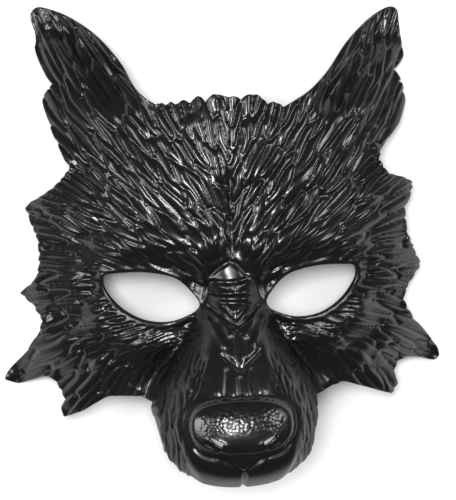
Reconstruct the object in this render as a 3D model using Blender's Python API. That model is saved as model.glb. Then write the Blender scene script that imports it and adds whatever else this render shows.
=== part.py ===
"""Half-face wolf mask, moulded in one piece of thin black plastic.

The mask lies face up, as it rests by itself: +Z points out of the face, +Y towards the ears and +X to
the right of someone who looks at the face. The origin is the middle of the mask's outline, on the
surface that it lies on. All lengths are in metres.

The face is a height above that surface. A broad curved sheet and a snout that stands up from it are
blended, the folds and dents of the table FOLDS are added, and the outline, the eye holes and the
nostrils are cut from it. The sheet then gets its wall thickness towards the wearer.
"""
import bmesh
import bpy
import numpy as np
from mathutils import Vector
from mathutils.geometry import delaunay_2d_cdt

# Driving dimensions
MASK_WIDTH = 0.2104
MASK_HEIGHT = 0.2152
BROW_HEIGHT = 0.060
SNOUT_HEIGHT = 0.093
SNOUT_WIDTH = 0.072
SNOUT_ROUNDING = 0.030
FOOT_ROUNDING = 0.0025
SHEET_BLEND = 0.010
LIP_HEIGHT = 0.050
LIP_RISE = 0.022
WALL = 0.0020
EYE_WIDTH = 0.0445
EYE_HEIGHT = 0.0228
EYE_SPREAD = 0.0375
EYE_RIM_HEIGHT = 0.0012
EYE_RIM_WIDTH = 0.006
FOLD_WIDTH = 0.010
FOLD_HEIGHT = 0.004
NOSE_WIDTH = 0.047
NOSE_LENGTH = 0.024
NOSE_RISE = 0.0045
NOSE_EDGE = 0.005
NOSE_Y = -0.695
NOSE_ROUNDING = 2.6
NOSTRIL_LENGTH = 0.0066
NOSTRIL_SPREAD = 0.0118
MESH_SIZE = 0.0041

# The middle line of the face lies a little to the right of the middle of the outline.
MIDLINE = 0.0016
HALF_WIDTH = MASK_WIDTH / 2
HALF_HEIGHT = MASK_HEIGHT / 2

# Heights of the face sheet. Places are shares of HALF_HEIGHT, heights are shares of BROW_HEIGHT.
# place along Y, height on the middle line, drop from there to the widest point
SHEET_ROWS = [
    (1.05, 0.60, 1.20),
    (0.85, 0.66, 1.08),
    (0.66, 0.76, 0.96),
    (0.50, 0.84, 0.94),
    (0.21, 0.945, 0.95),
    (0.01, 0.965, 0.955),
    (-0.19, 0.965, 0.95),
    (-0.41, 0.95, 0.95),
    (-0.65, 0.93, 1.06),
    (-1.03, 0.90, 1.00),
]
SHEET_ROUNDING = 2.2

# The snout. Places are shares of HALF_HEIGHT, half widths of SNOUT_WIDTH / 2, heights of SNOUT_HEIGHT.
# place along Y, half width, height of the ridge
SNOUT_ROWS = [
    (0.07, 0.23, 0.50),
    (-0.09, 0.32, 0.60),
    (-0.21, 0.41, 0.68),
    (-0.33, 0.56, 0.76),
    (-0.45, 0.77, 0.845),
    (-0.57, 0.99, 0.925),
    (-0.67, 1.06, 0.975),
    (-0.80, 1.00, 1.00),
    (-0.90, 0.96, 1.00),
    (-1.00, 0.91, 1.00),
]
SNOUT_FRONT = -0.80
SNOUT_PLAN_ROUNDING = 2.3
SNOUT_TOP_ROUNDING = 2.4
SNOUT_WALL_START = 0.965
SNOUT_WALL_SLOPE = 8.0

# The lip, the snout's free edge, starts where the cheeks end. It rises towards the front.
LIP_START = -0.663
THROAT_WIDTH = 0.052
THROAT_DEPTH = 0.030
THROAT_EDGE = 0.009

# The outline. Places are shares of HALF_WIDTH and HALF_HEIGHT; roundness 0 is a sharp corner.
# x, y, roundness
LEFT_CHEEK = [
    (-0.397, -0.648, 1.0),
    (-0.535, -0.660, 1.0),
    (-0.592, -0.693, 1.0),
    (-0.664, -0.741, 0.8),
    (-0.740, -0.777, 0.2),
    (-0.747, -0.737, 0.7),
    (-0.733, -0.693, 1.0),
    (-0.762, -0.633, 1.0),
    (-0.808, -0.606, 1.0),
    (-0.947, -0.660, 0.8),
    (-1.000, -0.638, 0.4),
    (-0.977, -0.595, 0.8),
    (-0.907, -0.516, 1.0),
    (-0.855, -0.431, 1.0),
    (-0.811, -0.350, 0.2),
    (-0.855, -0.290, 1.0),
    (-0.908, -0.236, 0.3),
    (-0.834, -0.151, 1.0),
    (-0.816, -0.037, 1.0),
    (-0.840, 0.057, 1.0),
    (-0.871, 0.140, 0.4),
    (-0.858, 0.161, 0.6),
    (-0.736, 0.246, 1.0),
    (-0.668, 0.325, 0.2),
]
LEFT_EAR = [
    (-0.714, 0.424, 1.0),
    (-0.757, 0.533, 1.0),
    (-0.775, 0.611, 1.0),
    (-0.755, 0.643, 1.0),
    (-0.729, 0.675, 0.2),
    (-0.756, 0.712, 1.0),
    (-0.799, 0.813, 1.0),
    (-0.798, 0.886, 1.0),
    (-0.815, 0.963, 1.0),
    (-0.796, 0.994, 1.0),
    (-0.765, 1.000, 1.0),
    (-0.650, 0.958, 1.0),
    (-0.530, 0.877, 1.0),
    (-0.432, 0.768, 1.0),
    (-0.369, 0.657, 1.0),
    (-0.286, 0.593, 0.5),
]
FOREHEAD = [
    (-0.262, 0.600, 1.0),
    (-0.243, 0.589, 0.0),
    (-0.222, 0.603, 1.0),
    (-0.202, 0.592, 0.0),
    (-0.167, 0.609, 1.0),
    (-0.138, 0.597, 0.0),
    (-0.102, 0.625, 1.0),
    (-0.073, 0.602, 0.0),
    (-0.035, 0.630, 1.0),
    (0.022, 0.618, 0.4),
    (0.050, 0.619, 1.0),
    (0.078, 0.606, 0.0),
    (0.106, 0.622, 1.0),
    (0.151, 0.620, 1.0),
    (0.194, 0.584, 0.0),
    (0.222, 0.590, 1.0),
    (0.243, 0.581, 0.2),
    (0.260, 0.567, 0.3),
]
RIGHT_EAR = [
    (0.299, 0.584, 0.8),
    (0.388, 0.633, 1.0),
    (0.480, 0.712, 1.0),
    (0.578, 0.820, 1.0),
    (0.690, 0.906, 1.0),
    (0.782, 0.955, 1.0),
    (0.811, 0.955, 1.0),
    (0.828, 0.936, 1.0),
    (0.838, 0.836, 1.0),
    (0.851, 0.747, 1.0),
    (0.830, 0.715, 1.0),
    (0.803, 0.690, 0.2),
    (0.820, 0.653, 1.0),
    (0.843, 0.577, 1.0),
    (0.835, 0.496, 1.0),
    (0.755, 0.402, 1.0),
]
RIGHT_CHEEK = [
    (0.696, 0.326, 0.2),
    (0.737, 0.256, 1.0),
    (0.830, 0.218, 1.0),
    (0.866, 0.188, 0.3),
    (0.847, 0.135, 1.0),
    (0.824, 0.072, 1.0),
    (0.844, -0.040, 1.0),
    (0.900, -0.171, 0.3),
    (0.848, -0.239, 1.0),
    (0.811, -0.306, 0.2),
    (0.846, -0.390, 1.0),
    (0.909, -0.469, 1.0),
    (0.987, -0.568, 0.8),
    (1.000, -0.618, 0.6),
    (0.972, -0.634, 0.8),
    (0.854, -0.594, 1.0),
    (0.793, -0.596, 1.0),
    (0.766, -0.653, 1.0),
    (0.780, -0.699, 0.7),
    (0.747, -0.733, 0.2),
    (0.679, -0.703, 1.0),
    (0.559, -0.652, 1.0),
    (0.509, -0.633, 1.0),
    (0.437, -0.647, 1.0),
]

# The left eye hole, seen from the front; the right one is its mirror image. Places are shares of
# EYE_WIDTH / 2 away from the nose and of EYE_HEIGHT / 2.
# x, y, roundness
EYE_CENTRE_Y = -0.215
EYE_ROWS = [
    (0.93, 0.84, 0.8),
    (0.52, 0.98, 1.0),
    (0.00, 1.00, 1.0),
    (-0.54, 0.76, 1.0),
    (-0.87, 0.14, 1.0),
    (-1.00, -0.28, 1.0),
    (-0.86, -0.66, 1.0),
    (-0.36, -0.98, 1.0),
    (0.18, -0.90, 1.0),
    (0.66, -0.40, 1.0),
    (0.95, 0.36, 1.0),
]

# A nostril, a small slot that points down to the middle. Shares of NOSTRIL_LENGTH from its centre.
# x away from the middle line, y
NOSTRIL_Y = -0.748
NOSTRIL_ROWS = [
    (0.52, 0.34),
    (0.10, 0.22),
    (-0.46, -0.05),
    (-0.34, -0.34),
    (0.08, -0.12),
]

# The main folds and dents, each a curve over three places. Places are shares of HALF_WIDTH, from the
# middle line outwards, and of HALF_HEIGHT; widths and heights are shares of FOLD_WIDTH and FOLD_HEIGHT.
# name, sides, start x, y, middle x, y, end x, y, width, height
FOLDS = [
    ("ear channel", "left", 0.41, 0.55, 0.55, 0.76, 0.74, 0.95, 1.05, -1.30),
    ("ear channel", "right", 0.41, 0.52, 0.56, 0.70, 0.77, 0.91, 1.05, -1.30),
    ("ear inner edge", "left", 0.33, 0.59, 0.46, 0.78, 0.74, 0.98, 0.70, 0.55),
    ("ear inner edge", "right", 0.34, 0.57, 0.50, 0.70, 0.77, 0.94, 0.70, 0.55),
    ("ear back fold", "left", 0.50, 0.46, 0.64, 0.67, 0.77, 0.90, 1.00, 0.55),
    ("ear back fold", "right", 0.50, 0.45, 0.68, 0.63, 0.80, 0.84, 1.00, 0.55),
    ("ear outer edge", "left", 0.65, 0.45, 0.74, 0.69, 0.79, 0.94, 0.80, 0.35),
    ("ear outer edge", "right", 0.68, 0.41, 0.79, 0.59, 0.81, 0.88, 0.80, 0.35),
    ("brow ridge", "both", 0.04, -0.05, 0.28, 0.02, 0.58, -0.07, 1.50, 0.90),
    ("brow bulge", "both", 0.04, 0.08, 0.10, -0.01, 0.18, -0.06, 1.40, 0.50),
    ("parting", "middle", 0.00, 0.29, 0.00, 0.11, 0.00, -0.06, 0.80, -0.45),
    ("eye socket", "both", 0.13, -0.21, 0.30, -0.19, 0.57, -0.17, 2.60, -1.10),
    ("eye corner", "both", 0.13, -0.13, 0.14, -0.21, 0.15, -0.30, 1.20, -0.70),
    ("cheekbone", "both", 0.14, -0.35, 0.37, -0.41, 0.65, -0.27, 1.50, 0.85),
    ("snout crease", "both", 0.12, -0.32, 0.27, -0.46, 0.39, -0.64, 1.30, -0.70),
    ("temple ridge", "both", 0.55, 0.11, 0.70, 0.16, 0.86, 0.17, 1.00, 0.50),
    ("middle spike ridge", "both", 0.61, -0.13, 0.75, -0.17, 0.90, -0.20, 1.00, 0.45),
    ("cheek spike ridge", "both", 0.64, -0.41, 0.81, -0.52, 0.97, -0.62, 1.10, 0.50),
    ("lower spike ridge", "both", 0.54, -0.46, 0.65, -0.60, 0.74, -0.75, 1.00, 0.50),
    ("temple valley", "both", 0.53, 0.23, 0.61, 0.29, 0.68, 0.33, 0.90, -0.45),
    ("side valley", "both", 0.59, -0.01, 0.70, -0.01, 0.83, -0.02, 1.00, -0.40),
    ("cheek valley", "both", 0.60, -0.28, 0.71, -0.32, 0.81, -0.33, 0.90, -0.45),
    ("lower valley", "both", 0.57, -0.50, 0.69, -0.58, 0.79, -0.60, 0.90, -0.45),
    ("forehead side lock", "both", 0.09, 0.08, 0.26, 0.25, 0.47, 0.33, 1.20, 0.35),
    ("forehead top lock", "both", 0.03, 0.20, 0.12, 0.39, 0.19, 0.54, 1.10, 0.35),
]
FOLD_STEPS = 14


def columns(rows):
    """Turn a table's rows of numbers into one array for each column."""
    return [np.array(column, dtype=float) for column in zip(*rows)]


def curve_through(places, values, at):
    """Read a smooth curve that passes through the values and never swings beyond them."""
    order = np.argsort(places)
    xs = places[order]
    ys = values[order]
    widths = np.diff(xs)
    slopes = np.diff(ys) / widths
    left, right = slopes[:-1], slopes[1:]
    near = 2 * widths[1:] + widths[:-1]
    far = widths[1:] + 2 * widths[:-1]
    same_way = left * right > 0
    safe_left = np.where(same_way, left, 1.0)
    safe_right = np.where(same_way, right, 1.0)
    middle = np.where(same_way, (near + far) / (near / safe_left + far / safe_right), 0.0)
    tangents = np.concatenate([slopes[:1], middle, slopes[-1:]])
    at = np.clip(at, xs[0], xs[-1])
    k = np.clip(np.searchsorted(xs, at) - 1, 0, len(widths) - 1)
    t = (at - xs[k]) / widths[k]
    start = (1 + 2 * t) * (1 - t) ** 2 * ys[k] + t * (1 - t) ** 2 * widths[k] * tangents[k]
    end = t * t * (3 - 2 * t) * ys[k + 1] + t * t * (t - 1) * widths[k] * tangents[k + 1]
    return start + end


def blend_higher(first, second, radius):
    """The higher of two heights, rounded over where they meet."""
    share = np.clip(0.5 + 0.5 * (first - second) / radius, 0.0, 1.0)
    return second + (first - second) * share + radius * share * (1 - share)


def soft_step(value):
    """A step from 0 to 1 that starts and ends level."""
    value = np.clip(value, 0.0, 1.0)
    return value * value * (3 - 2 * value)


def sheet_height(across, y):
    """Height of the broad face sheet: each cross-section falls away from the middle line."""
    place, middle, drop = columns(SHEET_ROWS)
    share = y / HALF_HEIGHT
    widest = HALF_WIDTH - MIDLINE * np.sign(across)
    fall = (np.abs(across) / widest) ** SHEET_ROUNDING
    return BROW_HEIGHT * (curve_through(place, middle, share) - curve_through(place, drop, share) * fall)


def snout_section(y):
    """Half width, ridge height and share of the way round the front end, for cross-sections at y."""
    place, half, ridge = columns(SNOUT_ROWS)
    share = y / HALF_HEIGHT
    half_width = SNOUT_WIDTH / 2 * curve_through(place, half, share)
    ridge_height = SNOUT_HEIGHT * curve_through(place, ridge, share)
    front = SNOUT_WALL_START * np.clip((SNOUT_FRONT - share) / (1 + SNOUT_FRONT), 0.0, None)
    return half_width, ridge_height, front


def snout_height(across, y):
    """Height of the snout: a rounded roof, then a nearly upright wall, also round its front end."""
    half_width, ridge_height, front = snout_section(y)
    power = SNOUT_PLAN_ROUNDING
    reach = ((np.abs(across) / half_width) ** power + front ** power) ** (1 / power)
    roof = np.minimum(reach, SNOUT_WALL_START)
    drop = SNOUT_ROUNDING * (1 - np.sqrt(1 - roof ** SNOUT_TOP_ROUNDING))
    wall = SNOUT_WALL_SLOPE * np.maximum(reach - SNOUT_WALL_START, 0.0) * half_width
    return ridge_height - drop - wall


def base_height(x, y, throat=THROAT_DEPTH):
    """Height of the plain form: the sheet and the snout, blended.

    Where the snout stands out past the cheeks the sheet drops away, so that the snout has free walls.
    """
    across = x - MIDLINE
    behind_cheeks = np.clip((LIP_START * HALF_HEIGHT - y) / THROAT_EDGE, 0.0, 1.0)
    under_snout = np.clip((THROAT_WIDTH - np.abs(across)) / THROAT_EDGE, 0.0, 1.0)
    sheet = sheet_height(across, y) - throat * behind_cheeks * under_snout
    return blend_higher(sheet, snout_height(across, y), SHEET_BLEND)


def bow(start, middle, end, steps):
    """Points along a curve that starts and ends at two places and passes the middle one."""
    t = np.linspace(0.0, 1.0, steps)[:, None]
    pull = 2 * np.array(middle) - 0.5 * np.array(start) - 0.5 * np.array(end)
    return (1 - t) ** 2 * np.array(start) + 2 * t * (1 - t) * pull + t * t * np.array(end)


def fold_lines():
    """Each fold's centre line in metres, with its width and height, once for each side it is on."""
    lines = []
    for name, sides, x1, y1, x2, y2, x3, y3, width, height in FOLDS:
        line = bow((x1, y1), (x2, y2), (x3, y3), FOLD_STEPS) * (HALF_WIDTH, HALF_HEIGHT)
        for side, sign in (("left", -1.0), ("right", 1.0), ("middle", 1.0)):
            if sides == side or (sides == "both" and side != "middle"):
                lines.append((line * (sign, 1.0) + (MIDLINE, 0.0), width * FOLD_WIDTH, height * FOLD_HEIGHT))
    return lines


def distance_to_line(points, line):
    """Distance from points to a line of many short pieces, and how far along it the nearest spot is."""
    starts, steps = line[:-1], np.diff(line, axis=0)
    lengths = np.maximum((steps ** 2).sum(axis=1), 1e-12)
    offset = points[:, None, :] - starts[None, :, :]
    share = np.clip((offset * steps).sum(axis=2) / lengths, 0.0, 1.0)
    gap = np.linalg.norm(offset - share[:, :, None] * steps, axis=2)
    nearest = gap.argmin(axis=1)
    rows = np.arange(len(points))
    return gap[rows, nearest], (nearest + share[rows, nearest]) / len(steps)


def nose_rise(x, y):
    """Height of the nose pad above the snout: an oval with a soft edge."""
    across = (x - MIDLINE) / (NOSE_WIDTH / 2)
    along = (y - NOSE_Y * HALF_HEIGHT) / (NOSE_LENGTH / 2)
    oval = (np.abs(across) ** NOSE_ROUNDING + np.abs(along) ** NOSE_ROUNDING) ** (1 / NOSE_ROUNDING)
    return NOSE_RISE * soft_step((1 - oval) * NOSE_WIDTH / 2 / NOSE_EDGE + 0.5)


def face_height(x, y):
    """Height of the front: the plain form with its folds, the nose pad and the rims of the eyes.

    The tips level out where they lie on the surface, with the wall's thickness under them.
    """
    points = np.column_stack([x, y])
    height = base_height(x, y) + nose_rise(x, y)
    for line, width, rise in fold_lines():
        gap, along = distance_to_line(points, line)
        ends = soft_step(4 * along + 0.3) * soft_step(4 * (1 - along) + 0.3)
        height = height + rise * ends * (1 - soft_step(gap / width))
    for eye in eye_outlines():
        gap, _ = distance_to_line(points, np.vstack([eye, eye[:1]]))
        height = height + EYE_RIM_HEIGHT * (1 - soft_step(gap / EYE_RIM_WIDTH))
    return blend_higher(height, WALL, FOOT_ROUNDING)


def round_through(rows, spacing, closed=True):
    """Points along a curve through the rows of a table of x, y and roundness, about one each spacing."""
    rows = np.array(rows, dtype=float)
    places, roundness = rows[:, :2], rows[:, 2:]
    if closed:
        before, after = np.roll(places, 1, axis=0), np.roll(places, -1, axis=0)
    else:
        before = np.vstack([places[:1], places[:-1]])
        after = np.vstack([places[1:], places[-1:]])
    reach_in = np.linalg.norm(places - before, axis=1, keepdims=True)
    reach_out = np.linalg.norm(after - places, axis=1, keepdims=True)
    tangent = (after - before) / np.maximum(reach_in + reach_out, 1e-9) * roundness
    points = []
    count = len(places) if closed else len(places) - 1
    for i in range(count):
        j = (i + 1) % len(places)
        length = np.linalg.norm(places[j] - places[i])
        steps = max(1, int(round(length / spacing)))
        t = (np.arange(steps) / steps)[:, None]
        points.append((1 + 2 * t) * (1 - t) ** 2 * places[i] + t * t * (3 - 2 * t) * places[j]
                      + t * (1 - t) ** 2 * length * tangent[i] + t * t * (t - 1) * length * tangent[j])
    if not closed:
        points.append(places[-1:])
    return np.vstack(points)


def scaled(rows):
    """A table of outline rows with its shares turned into metres."""
    return [(x * HALF_WIDTH, y * HALF_HEIGHT, roundness) for x, y, roundness in rows]


def lip_outline(spacing):
    """The snout's free edge in plan, from the right cheek round the front to the left cheek."""
    start = LIP_START * HALF_HEIGHT
    y = np.linspace(start, -1.1 * HALF_HEIGHT, 4000)
    half_width, ridge_height, front = snout_section(y)
    lip = LIP_HEIGHT + LIP_RISE * soft_step((start - y) / (start + HALF_HEIGHT))
    roof_drop = SNOUT_ROUNDING * (1 - np.sqrt(1 - SNOUT_WALL_START ** SNOUT_TOP_ROUNDING))
    reach = SNOUT_WALL_START + (ridge_height - roof_drop - lip) / (SNOUT_WALL_SLOPE * half_width)
    power = SNOUT_PLAN_ROUNDING
    across = half_width * np.clip(reach ** power - front ** power, 0.0, None) ** (1 / power)
    last = int(np.argmax(across <= 0)) + 1
    right = np.column_stack([across, y])[:last]
    left = (right * (-1.0, 1.0))[-2::-1]
    line = np.vstack([right, left]) + (MIDLINE, 0.0)
    travelled = np.concatenate([[0.0], np.cumsum(np.linalg.norm(np.diff(line, axis=0), axis=1))])
    steps = 2 * int(round(travelled[-1] / spacing / 2))
    places = np.linspace(0.0, travelled[-1], steps + 1)
    return np.column_stack([np.interp(places, travelled, line[:, k]) for k in range(2)])


def mask_outline(spacing):
    """The mask's outer edge in plan, as one closed loop."""
    rows = scaled(LEFT_CHEEK + LEFT_EAR + FOREHEAD + RIGHT_EAR + RIGHT_CHEEK)
    return np.vstack([round_through(rows, spacing, closed=False), lip_outline(spacing)])


def eye_outlines(spacing=MESH_SIZE * 0.85):
    """The two eye holes in plan."""
    rows = [(x * EYE_WIDTH / 2, y * EYE_HEIGHT / 2, roundness) for x, y, roundness in EYE_ROWS]
    eye = round_through(rows, spacing)
    centre_y = EYE_CENTRE_Y * HALF_HEIGHT
    return [eye * (sign, 1.0) + (MIDLINE + sign * EYE_SPREAD, centre_y) for sign in (-1.0, 1.0)]


def nostril_outlines():
    """The two nostril slots in plan."""
    slot = np.array(NOSTRIL_ROWS) * NOSTRIL_LENGTH
    centre_y = NOSTRIL_Y * HALF_HEIGHT
    return [slot * (sign, 1.0) + (MIDLINE + sign * NOSTRIL_SPREAD, centre_y) for sign in (-1.0, 1.0)]


class Unrolled:
    """The face laid out flat, so that steep walls get as many points as level stretches.

    A place on it is a distance across, measured over the plain form from the middle line, and a
    distance along, measured down the middle line itself.
    """

    ROW_STEP = 0.0006
    FINE = 900

    def __init__(self):
        self.y_fine = np.linspace(1.06 * HALF_HEIGHT, -1.06 * HALF_HEIGHT, self.FINE)
        crest = base_height(np.full(self.FINE, MIDLINE), self.y_fine)
        pieces = np.hypot(np.diff(self.y_fine), np.diff(crest))
        self.along_fine = np.concatenate([[0.0], np.cumsum(pieces)])
        rows = int(self.along_fine[-1] / self.ROW_STEP) + 2
        self.along = np.linspace(0.0, self.along_fine[-1], rows)
        self.row_y = np.interp(self.along, self.along_fine, self.y_fine)
        self.out = np.linspace(0.0, 1.06 * HALF_WIDTH, self.FINE)
        heights = base_height(MIDLINE + self.out[None, :], self.row_y[:, None], throat=0.0)
        pieces = np.hypot(np.diff(self.out)[None, :], np.diff(heights, axis=1))
        self.reach = np.hstack([np.zeros((rows, 1)), np.cumsum(pieces, axis=1)])
        self.across = np.arange(0.0, self.reach[:, -1].max(), self.ROW_STEP)
        self.out_at = np.array([np.interp(self.across, row, self.out) for row in self.reach])

    @staticmethod
    def read(table, row, column):
        """Read a table between its rows and columns."""
        i = np.clip(row.astype(int), 0, table.shape[0] - 2)
        j = np.clip(column.astype(int), 0, table.shape[1] - 2)
        a, b = np.clip(row - i, 0.0, 1.0), np.clip(column - j, 0.0, 1.0)
        upper = table[i, j] * (1 - b) + table[i, j + 1] * b
        lower = table[i + 1, j] * (1 - b) + table[i + 1, j + 1] * b
        return upper * (1 - a) + lower * a

    def flatten(self, points):
        """Places in plan as places on the flat layout."""
        away = points[:, 0] - MIDLINE
        along = np.interp(-points[:, 1], -self.y_fine, self.along_fine)
        row = along / (self.along[1] - self.along[0])
        column = np.abs(away) / (self.out[1] - self.out[0])
        across = self.read(self.reach, row, column)
        return np.column_stack([np.sign(away) * across, along])

    def stand(self, flat):
        """Places on the flat layout as places in plan."""
        row = flat[:, 1] / (self.along[1] - self.along[0])
        column = np.abs(flat[:, 0]) / (self.across[1] - self.across[0])
        away = self.read(self.out_at, row, column)
        y = np.interp(flat[:, 1], self.along_fine, self.y_fine)
        return np.column_stack([MIDLINE + np.sign(flat[:, 0]) * away, y])


def inside(points, loop):
    """Which points lie inside a closed loop."""
    a, b = loop, np.roll(loop, -1, axis=0)
    x, y = points[:, :1], points[:, 1:]
    crosses = (a[:, 1] > y) != (b[:, 1] > y)
    rise = np.where(b[:, 1] == a[:, 1], 1e-12, b[:, 1] - a[:, 1])
    where = a[:, 0] + (y - a[:, 1]) * (b[:, 0] - a[:, 0]) / rise
    return (crosses & (x < where)).sum(axis=1) % 2 == 1


def lattice(low, high, spacing):
    """A triangular grid of points over a rectangle."""
    row_step = spacing * 3 ** 0.5 / 2
    ys = np.arange(low[1], high[1], row_step)
    xs = np.arange(low[0], high[0], spacing)
    shift = (np.arange(len(ys)) % 2) * spacing / 2
    return np.column_stack([(xs[None, :] + shift[:, None]).ravel(), np.repeat(ys, len(xs))])


def clear_of(points, others, gap):
    """Which points are at least a gap away from every one of the others."""
    keep = np.ones(len(points), dtype=bool)
    for block in np.array_split(np.arange(len(points)), max(1, len(points) // 500)):
        apart = np.linalg.norm(points[block, None, :] - others[None, :, :], axis=2)
        keep[block] = apart.min(axis=1) > gap
    return keep


def ridge_points(layout):
    """Points along the middle of each fold, so that the facets follow its ridge or valley."""
    spots = []
    for line, _, _ in fold_lines():
        flat = layout.flatten(line)
        length = np.linalg.norm(np.diff(flat, axis=0), axis=1).sum()
        picks = np.linspace(0, len(flat) - 1, max(2, int(length / MESH_SIZE))).round().astype(int)
        for spot in flat[picks]:
            if not spots or np.linalg.norm(np.array(spots) - spot, axis=1).min() > 0.8 * MESH_SIZE:
                spots.append(spot)
    return np.array(spots)


def front_facets():
    """Points and triangles of the mask's front."""
    layout = Unrolled()
    holes = eye_outlines() + nostril_outlines()
    loops = [layout.flatten(loop) for loop in [mask_outline(MESH_SIZE * 0.9)] + holes]
    rim = np.vstack(loops)
    ridges = ridge_points(layout)
    grid = lattice(loops[0].min(axis=0), loops[0].max(axis=0), MESH_SIZE)
    grid = grid[clear_of(grid, ridges, 0.62 * MESH_SIZE)]
    inner = np.vstack([ridges, grid])
    for k, loop in enumerate(loops):
        inner = inner[inside(inner, loop) == (k == 0)]
    inner = inner[clear_of(inner, rim, 0.55 * MESH_SIZE)]
    flat = np.vstack([rim, inner])
    edges = []
    first = 0
    for loop in loops:
        count = len(loop)
        edges += [(first + i, first + (i + 1) % count) for i in range(count)]
        first += count
    found = delaunay_2d_cdt([Vector(p) for p in flat], edges, [], 0, 1e-7)
    flat = np.array([tuple(p) for p in found[0]])
    triangles = np.array([tuple(face) for face in found[2]])
    middles = flat[triangles].mean(axis=1)
    wanted = inside(middles, loops[0])
    for loop in loops[1:]:
        wanted &= ~inside(middles, loop)
    plan = layout.stand(flat)
    points = np.column_stack([plan, face_height(plan[:, 0], plan[:, 1])])
    return points, triangles[wanted]


def black_plastic():
    """Glossy black moulded plastic."""
    material = bpy.data.materials.new("black_plastic")
    material.use_nodes = True
    shader = material.node_tree.nodes["Principled BSDF"]
    shader.inputs["Base Color"].default_value = (0.012, 0.012, 0.014, 1.0)
    shader.inputs["Roughness"].default_value = 0.28
    shader.inputs["Metallic"].default_value = 0.0
    return material


def mask_shell():
    """The mask: its front, thickened towards the wearer by the wall."""
    points, triangles = front_facets()
    mesh = bpy.data.meshes.new("mask_shell")
    mesh.from_pydata(points.tolist(), [], triangles.tolist())
    work = bmesh.new()
    work.from_mesh(mesh)
    loose = [vertex for vertex in work.verts if not vertex.link_faces]
    bmesh.ops.delete(work, geom=loose, context="VERTS")
    bmesh.ops.recalc_face_normals(work, faces=work.faces[:])
    if sum(face.normal.z for face in work.faces) < 0:
        bmesh.ops.reverse_faces(work, faces=work.faces[:])
    work.to_mesh(mesh)
    work.free()
    mesh.shade_smooth()
    shell = bpy.data.objects.new("mask_shell", mesh)
    bpy.context.collection.objects.link(shell)
    mesh.materials.append(black_plastic())
    wall = shell.modifiers.new("wall", "SOLIDIFY")
    wall.thickness = WALL
    wall.offset = -1.0
    wall.use_even_offset = False
    wall.use_rim = True
    return shell


def main():
    """Clear the scene and build the mask."""
    for old in list(bpy.data.objects):
        bpy.data.objects.remove(old, do_unlink=True)
    mask_shell()


main()
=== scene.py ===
"""A glossy black wolf half mask that lies face up on a pale surface.

The face is worked out as a height over the surface, laid out flat so that steep walls get as many
points as level stretches. Locks of fur, the plates of the bridge and the skin of the nose are added
on top of that form, along its normals.
"""
import math

import bpy
import numpy as np
from bpy.props import FloatProperty, FloatVectorProperty, IntProperty, PointerProperty
from mathutils import Matrix, Vector
from mathutils.geometry import delaunay_2d_cdt


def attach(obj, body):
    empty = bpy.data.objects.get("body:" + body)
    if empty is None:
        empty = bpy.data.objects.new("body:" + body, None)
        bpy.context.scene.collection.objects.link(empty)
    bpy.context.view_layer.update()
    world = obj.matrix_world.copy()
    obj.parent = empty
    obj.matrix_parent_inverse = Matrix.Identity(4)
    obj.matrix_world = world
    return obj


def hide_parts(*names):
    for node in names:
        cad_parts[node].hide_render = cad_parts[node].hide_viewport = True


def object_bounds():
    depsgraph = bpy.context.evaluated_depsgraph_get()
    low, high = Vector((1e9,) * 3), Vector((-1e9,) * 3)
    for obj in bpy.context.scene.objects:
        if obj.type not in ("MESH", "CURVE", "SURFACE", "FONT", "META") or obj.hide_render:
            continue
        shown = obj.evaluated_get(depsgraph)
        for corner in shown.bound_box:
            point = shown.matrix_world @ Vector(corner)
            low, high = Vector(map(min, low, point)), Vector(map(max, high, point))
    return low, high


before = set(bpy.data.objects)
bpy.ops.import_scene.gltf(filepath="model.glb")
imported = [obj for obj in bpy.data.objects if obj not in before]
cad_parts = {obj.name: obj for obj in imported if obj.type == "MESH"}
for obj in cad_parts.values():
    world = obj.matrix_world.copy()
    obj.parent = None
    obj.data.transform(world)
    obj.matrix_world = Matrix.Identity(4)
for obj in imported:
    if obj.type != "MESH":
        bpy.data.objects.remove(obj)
SHELL_LOW, SHELL_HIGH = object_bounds()

bl_info = {
    "name": "Wolf half mask",
    "version": (1, 0, 0),
    "blender": (4, 5, 0),
    "location": "3D View > Sidebar > Wolf mask",
    "description": "Builds a moulded wolf half mask with sculpted fur, and a pale stage for it",
    "category": "Add Mesh",
}

# Heights of the face sheet. Places are shares of half the height, heights are shares of the brow's.
# place along Y, height on the middle line, drop from there to the widest point
SHEET_ROWS = [
    (1.05, 0.60, 1.20),
    (0.85, 0.66, 1.08),
    (0.66, 0.76, 0.96),
    (0.50, 0.84, 0.94),
    (0.21, 0.945, 0.95),
    (0.01, 0.965, 0.955),
    (-0.19, 0.965, 0.95),
    (-0.41, 0.95, 0.95),
    (-0.65, 0.93, 1.06),
    (-1.03, 0.90, 1.00),
]

# The snout. Places are shares of half the height, half widths and heights are shares of the snout's.
# place along Y, half width, height of the ridge
SNOUT_ROWS = [
    (0.07, 0.23, 0.50),
    (-0.09, 0.32, 0.60),
    (-0.21, 0.41, 0.68),
    (-0.33, 0.56, 0.76),
    (-0.45, 0.77, 0.845),
    (-0.57, 0.99, 0.925),
    (-0.67, 1.06, 0.975),
    (-0.80, 1.00, 1.00),
    (-0.90, 0.96, 1.00),
    (-1.00, 0.91, 1.00),
]
SHEET_POWER = 2.2
SNOUT_FRONT = -0.80
SNOUT_PLAN_POWER = 2.3
SNOUT_TOP_POWER = 2.4
WALL_START = 0.965
WALL_SLOPE = 8.0
LIP_START = -0.663
NOSE_PLACE = -0.695
NOSE_POWER = 2.6
EYE_PLACE = -0.215
NOSTRIL_PLACE = -0.748

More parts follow.
